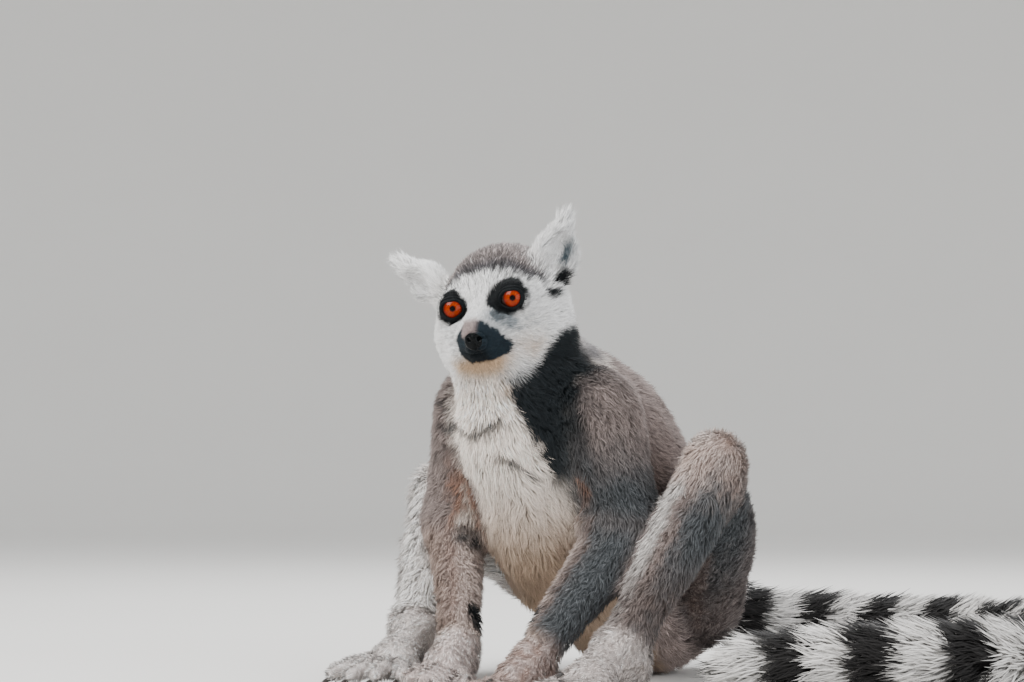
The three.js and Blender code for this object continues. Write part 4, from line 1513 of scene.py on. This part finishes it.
def nail_material():
    """Dark horn with fine streaks."""
    material, tree, shader = new_material("Lemur nail")
    streaks = noise(tree, 500.0, 2.0)
    ramp = ramp_of(tree, streaks, [(0.3, rgb("nail") * 0.6), (0.7, rgb("nail") * 1.8)])
    raised = node(tree, "Bump", Height=streaks, Strength=0.3, Distance=0.0002)
    feed(shader, Base_Color=ramp.outputs[0], Normal=raised.outputs["Normal"], Roughness=0.38)
    return material


# ------------------------------------------------------------------ eyes and nails


# the way the eyes look, to the head's left and down
GAZE_TURN = math.radians(20.0)
GAZE_DROP = 0.055
# the white of an eye lies a little inside its solid, and the cornea rises from it over the iris
IRIS_RADIUS = 5.5 * MM
WHITE_RADIUS = EYE_RADIUS - 0.15 * MM
CORNEA_RISE = 0.10 * MM


def make_eyeball(name):
    """A ball with a raised cornea, round the way the eye looks."""
    looking = unit(np.array([math.sin(GAZE_TURN), -math.cos(GAZE_TURN), -GAZE_DROP])) @ HEAD_AXES
    centre = middle(f"eye_{name}")
    across = unit(np.cross([0.0, 0.0, 1.0], looking))
    upward = np.cross(looking, across)
    rows = 72
    turns = 96
    points = [centre + looking * (WHITE_RADIUS + CORNEA_RISE)]
    from_axis = [0.0]
    spokes = [(0.0, 0.0, 0.0)]
    for row in range(1, rows):
        away = math.pi * row / rows
        radius = WHITE_RADIUS * math.sin(away)
        in_front = away < math.pi / 2
        reach = WHITE_RADIUS + CORNEA_RISE * max(0.0, 1.0 - (radius / IRIS_RADIUS) ** 2) * in_front
        for turn in range(turns):
            way = 2 * math.pi * turn / turns
            round_way = math.cos(way) * across + math.sin(way) * upward
            points.append(centre + reach * (math.cos(away) * looking + math.sin(away) * round_way))
            from_axis.append(radius / IRIS_RADIUS if in_front else 2.0)
            spokes.append((math.cos(way), math.sin(way), 0.12 * radius / IRIS_RADIUS))
    points.append(centre - looking * WHITE_RADIUS)
    from_axis.append(2.0)
    spokes.append((0.0, 0.0, 0.0))
    faces = [(0, 1 + turn, 1 + (turn + 1) % turns) for turn in range(turns)]
    for row in range(rows - 2):
        for turn in range(turns):
            a = 1 + row * turns + turn
            b = 1 + row * turns + (turn + 1) % turns
            faces += [(a, a + turns, b + turns), (a, b + turns, b)]
    last = len(points) - 1
    base = 1 + (rows - 2) * turns
    faces += [(last, base + (turn + 1) % turns, base + turn) for turn in range(turns)]
    mesh = make_mesh(f"eyeball_{name}", np.array(points), np.array(faces), 3)
    store(mesh, "from_axis", np.clip(np.array(from_axis) * 0.84, 0.0, 1.0))
    store(mesh, "spoke", np.array(spokes))
    mesh.materials.append(bpy.data.materials.get("Lemur eye") or eye_material())
    piece = place(f"eyeball_{name}", mesh, "eye")
    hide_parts(f"eye_{name}")


def digit_tips(paw, wrist):
    """The tips of a hand's or foot's digits: its points with none farther out near them."""
    around = 9.0 * MM
    apart = 7.0 * MM
    points = cad_points(paw)
    reach = np.linalg.norm((points - wrist)[:, :2], axis=1)
    found = []
    for k in np.argsort(-reach):
        if reach[k] < 0.45 * reach.max():
            break
        near = np.linalg.norm(points - points[k], axis=1) < around
        new = all(np.linalg.norm(points[k] - tip) > apart for tip in found)
        if new and reach[k] >= reach[near].max():
            found.append(points[k])
    return found[:5]


def nail(tip, outward, size):
    """A small arched nail over the tip of a digit."""
    across = unit(np.cross([0.0, 0.0, 1.0], outward))
    points = []
    rows = 7
    columns = 9
    for layer in (0.0, -0.45 * MM):
        for row in range(rows):
            t = row / (rows - 1)
            for column in range(columns):
                s = 2.0 * column / (columns - 1) - 1.0
                wide = size * 0.36 * math.sqrt(max(0.05, 1.0 - (1.25 * t - 0.35) ** 2))
                arch = size * 0.30 * (1.0 - s * s * 0.8) - size * 0.30 * t * t
                points.append(tip + outward * size * (t - 0.62) + across * s * wide
                              + np.array([0.0, 0.0, arch + layer + 2.6 * MM]))
    each = rows * columns
    faces = []
    for row in range(rows - 1):
        for column in range(columns - 1):
            a = row * columns + column
            quad = [a, a + 1, a + columns + 1, a + columns]
            faces += [quad, [k + each for k in quad[::-1]]]
    rim = ([k for k in range(columns)] + [row * columns + columns - 1 for row in range(1, rows)]
           + [each - 1 - k for k in range(1, columns)] + [row * columns for row in range(rows - 2, 0, -1)])
    for a, b in zip(rim, rim[1:] + rim[:1]):
        faces.append([b, a, a + each, b + each])
    return np.array(points), np.array(faces)


def make_nails():
    """All nails of the hands and feet as one piece."""
    points = []
    faces = []
    first = 0
    for name, _ in SIDES:
        for paw, size in ((f"hand_{name}", 4.6 * MM), (f"foot_{name}", 5.6 * MM)):
            wrist = JOINTS[paw][0]
            for tip in digit_tips(paw, wrist):
                outward = unit((tip - wrist) * [1.0, 1.0, 0.0])
                made, quads = nail(tip, outward, size)
                points.append(made)
                faces.append(quads + first)
                first += len(made)
    mesh = make_mesh("nails", np.concatenate(points), np.concatenate(faces), 4)
    mesh.materials.append(nail_material())
    place("nails", mesh, "hand_fur")


# ------------------------------------------------------------------ studio


def look(thing, target):
    """Turns a light or camera towards a place."""
    thing.rotation_mode = "QUATERNION"
    thing.rotation_quaternion = (Vector(target) - thing.location).to_track_quat("-Z", "Y")


def view_axes():
    """Directions from the animal to the camera, and to the camera's right."""
    turn = settings().studio.azimuth
    return (Vector((math.sin(turn), -math.cos(turn), 0.0)),
            Vector((math.cos(turn), math.sin(turn), 0.0)))


def make_camera():
    """The camera, placed from the animal's seat."""
    chosen = settings().studio
    data = bpy.data.cameras.new("Camera")
    data.lens = chosen.lens
    data.sensor_width = 36.0
    camera = add_object("Camera", data)
    back, _ = view_axes()
    middle_of_view = Vector((MIDLINE - chosen.aside, TAIL_ROOT[1] - chosen.ahead, 0.0))
    camera.location = middle_of_view + back * chosen.distance + Vector((0.0, 0.0, chosen.height))
    look(camera, camera.location - back + Vector((0.0, 0.0, math.tan(chosen.pitch))))
    bpy.context.scene.camera = camera


def softbox(name, place_at, target, size, watts, tint):
    """A square area light that the camera doesn't see."""
    data = bpy.data.lights.new(name, "AREA")
    data.shape = "SQUARE"
    data.size = size
    data.energy = watts
    data.color = tint
    lamp = add_object(name, data)
    lamp.location = place_at
    lamp.visible_camera = False
    look(lamp, target)


def make_cove():
    """A round floor that rises all round into a wall, so that no edge shows."""
    flat = 4.0
    curve = 1.6
    wall = 4.2
    steps = 12
    profile = [(0.0, 0.0), (0.6, 0.0), (2.0, 0.0), (flat, 0.0)]
    for k in range(1, steps + 1):
        bend = math.pi / 2 * k / steps
        profile.append((flat + curve * math.sin(bend), curve * (1.0 - math.cos(bend))))
    profile.append((flat + curve, wall))
    work = bmesh.new()
    corners = [work.verts.new((reach, 0.0, height)) for reach, height in profile]
    edges = [work.edges.new(pair) for pair in zip(corners, corners[1:])]
    bmesh.ops.spin(work, geom=corners + edges, cent=(0, 0, 0), axis=(0, 0, 1), angle=2 * math.pi,
                   steps=96, use_duplicate=False)
    bmesh.ops.remove_doubles(work, verts=work.verts, dist=1e-5)
    bmesh.ops.recalc_face_normals(work, faces=work.faces)
    mesh = bpy.data.meshes.new("floor")
    work.to_mesh(mesh)
    work.free()
    mesh.polygons.foreach_set("use_smooth", np.ones(len(mesh.polygons), bool))
    material, tree, shader = new_material("Studio floor")
    tone = np.array(settings().studio.floor)
    ramp = ramp_of(tree, noise(tree, 3.0, 3.0), [(0.3, tone * 0.985), (0.7, tone)])
    feed(shader, Base_Color=ramp.outputs[0], Roughness=0.85, Specular_IOR_Level=0.1)
    mesh.materials.append(material)
    add_object("floor", mesh)


def make_lights():
    """A large soft main light, a fill, a light from behind and a pale room."""
    chosen = settings().studio
    target = Vector(EYES) * 0.6
    back, right = view_axes()
    above = Vector((0.0, 0.0, 1.0))
    softbox("Key", target + back * 0.9 - right * 1.1 + above * 1.5, target, 1.1, chosen.key,
            (1.0, 0.985, 0.96))
    softbox("Fill", target + back * 1.4 + right * 1.3 + above * 0.5, target, 1.4, chosen.fill,
            (0.93, 0.96, 1.0))
    softbox("Rim", target - back * 1.2 + right * 0.4 + above * 1.4, target, 1.0, chosen.rim,
            (1.0, 1.0, 1.0))
    world = bpy.data.worlds.new("Studio")
    bpy.context.scene.world = world
    world.use_nodes = True
    sky = world.node_tree.nodes["Background"]
    sky.inputs["Color"].default_value = (0.97, 0.985, 1.0, 1.0)
    sky.inputs["Strength"].default_value = chosen.sky


# ------------------------------------------------------------------ operators


class LEMUR_OT_skin(Operator):
    """Draws the one skin of the whole animal inside the coat's outline"""

    bl_idname = "lemur.skin"
    bl_label = "Skin"

    def execute(self, context):
        """Makes the skin and unwraps it."""
        piece = place("lemur_skin", make_skin(), "back_fur")
        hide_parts(*FLESH)
        piece.data.materials.append(skin_material())
        unwrap_skin(piece)
        return {"FINISHED"}


class LEMUR_OT_eyes(Operator):
    """Makes both eyeballs"""

    bl_idname = "lemur.eyes"
    bl_label = "Eyes"

    def execute(self, context):
        """Makes one eyeball after the other."""
        for name, _ in SIDES:
            make_eyeball(name)
        return {"FINISHED"}


class LEMUR_OT_nails(Operator):
    """Makes the nails of the hands and feet"""

    bl_idname = "lemur.nails"
    bl_label = "Nails"

    def execute(self, context):
        """Makes the nails."""
        make_nails()
        return {"FINISHED"}


class LEMUR_OT_head_coat(Operator):
    """Grows the coat of the face, crown, cheeks and ears"""

    bl_idname = "lemur.head_coat"
    bl_label = "Head coat"

    def execute(self, context):
        """Grows the four pieces of the head."""
        skin = Skin()
        short = coat_material("Short white coat", 0.78, 1.08, 0.10, 0.05)
        head = skin.parts_of("head")
        face = head & skin.stretches_of("face")
        ears = skin.parts_of("ear_left", "ear_right")
        high = in_head(skin.centres)[:, 2] > 9.0
        coat_piece(skin, "coat_face", face, 11, short, "face_fur", lock_size=2.0)
        coat_piece(skin, "coat_crown", head & ~face & high, 12, short, "face_fur", lock_size=2.6,
                   speckle=0.65)
        coat_piece(skin, "coat_cheeks", head & ~face & ~high, 13, short, "face_fur", lock_size=3.2)
        coat_piece(skin, "coat_ears", ears, 14, short, "face_fur", lock_size=3.0)
        return {"FINISHED"}


class LEMUR_OT_body_coat(Operator):
    """Grows the coat of the neck, back, flanks, chest and belly"""

    bl_idname = "lemur.body_coat"
    bl_label = "Body coat"

    def execute(self, context):
        """Grows the four pieces of the body."""
        skin = Skin()
        dense = dense_coat()
        pale = coat_material("Long pale coat", 0.80, 1.08, 0.08, 0.10)
        trunk = skin.parts_of("trunk")
        chest = skin.stretches_of("chest")
        left = skin.centres[:, 0] > MIDLINE
        coat_piece(skin, "coat_neck", skin.parts_of("neck"), 21, dense, "collar_fur", speckle=0.22)
        for seed, name, half in ((22, "left", left), (23, "right", ~left)):
            coat_piece(skin, f"coat_back_{name}", trunk & ~chest & half, seed, dense, "back_fur",
                       speckle=0.20)
        coat_piece(skin, "coat_chest", trunk & chest, 24, pale, "back_fur", lock_size=7.0, speckle=0.10)
        return {"FINISHED"}


class LEMUR_OT_limb_coat(Operator):
    """Grows the coat of the arms, legs, hands and feet"""

    bl_idname = "lemur.limb_coat"
    bl_label = "Limb coat"

    def execute(self, context):
        """Grows the six pieces of the limbs."""
        skin = Skin()
        dense = dense_coat()
        short = coat_material("Short paw coat", 0.62, 1.15, 0.14, 0.08)
        for seed, (name, _) in zip((31, 32), SIDES):
            arm = skin.parts_of(f"upper_arm_{name}", f"forearm_{name}")
            leg = skin.parts_of(f"thigh_{name}", f"shin_{name}")
            coat_piece(skin, f"coat_arm_{name}", arm, seed, dense, "limb_fur", speckle=0.20)
            coat_piece(skin, f"coat_leg_{name}", leg, seed + 2, dense, "limb_fur", speckle=0.18)
        for seed, paw, name in ((35, "hand", "hands"), (36, "foot", "feet")):
            paws = skin.parts_of(f"{paw}_left", f"{paw}_right")
            coat_piece(skin, f"coat_{name}", paws, seed, short, "hand_fur", lock_size=2.8, speckle=0.26)
        return {"FINISHED"}


class LEMUR_OT_tail_coat(Operator):
    """Grows the deep ringed coat of the tail"""

    bl_idname = "lemur.tail_coat"
    bl_label = "Tail coat"

    def execute(self, context):
        """Grows the three pieces of the tail."""
        skin = Skin()
        ringed = coat_material("Ringed tail coat", 0.70, 1.12, 0.10, 0.2)
        slots = ("tail_pale", "tail_dark", "tail_dark")
        for number, (lengths, slot) in enumerate(zip((TAIL[:2], TAIL[2:4], TAIL[4:]), slots)):
            coat_piece(skin, f"coat_tail_{number + 1}", skin.parts_of(*lengths), 41 + number, ringed,
                       slot, lock_size=6.0, speckle=0.12)
        return {"FINISHED"}


class LEMUR_OT_studio(Operator):
    """Sets up the floor, lights and camera"""

    bl_idname = "lemur.studio"
    bl_label = "Studio"

    def execute(self, context):
        """Makes the camera, the floor and the lights."""
        make_camera()
        make_cove()
        make_lights()
        return {"FINISHED"}


STEPS = (LEMUR_OT_skin, LEMUR_OT_eyes, LEMUR_OT_nails, LEMUR_OT_head_coat, LEMUR_OT_body_coat,
         LEMUR_OT_limb_coat, LEMUR_OT_tail_coat, LEMUR_OT_studio)


class LEMUR_PT_panel(Panel):
    """Lists the steps of the model and its main settings"""

    bl_idname = "LEMUR_PT_panel"
    bl_label = "Lemur"
    bl_space_type = "VIEW_3D"
    bl_region_type = "UI"
    bl_category = "Lemur"

    def draw(self, context):
        """Draws a button for each step and a box for each group of settings."""
        for made in STEPS:
            self.layout.operator(made.bl_idname)
        for group in (settings().skin, settings().colours, settings().studio):
            box = self.layout.box()
            for key in group.__annotations__:
                box.prop(group, key)


CLASSES = (LemurSkin, LemurColours, *STRETCHES.values(), LemurCoat, LemurStudio, LemurSettings,
           *STEPS, LEMUR_PT_panel)


def register():
    """Registers the classes and the settings."""
    for made in CLASSES:
        bpy.utils.register_class(made)
    bpy.types.Scene.lemur = PointerProperty(type=LemurSettings)


def unregister():
    """Takes them away again."""
    del bpy.types.Scene.lemur
    for made in reversed(CLASSES):
        bpy.utils.unregister_class(made)


def main():
    """Makes the whole animal and its studio, and writes both boxes."""
    register()
    bpy.ops.lemur.skin()
    bpy.ops.lemur.eyes()
    bpy.ops.lemur.nails()
    bpy.ops.lemur.head_coat()
    bpy.ops.lemur.body_coat()
    bpy.ops.lemur.limb_coat()
    bpy.ops.lemur.tail_coat()
    bpy.ops.lemur.studio()


if __name__ == "__main__":
    main()
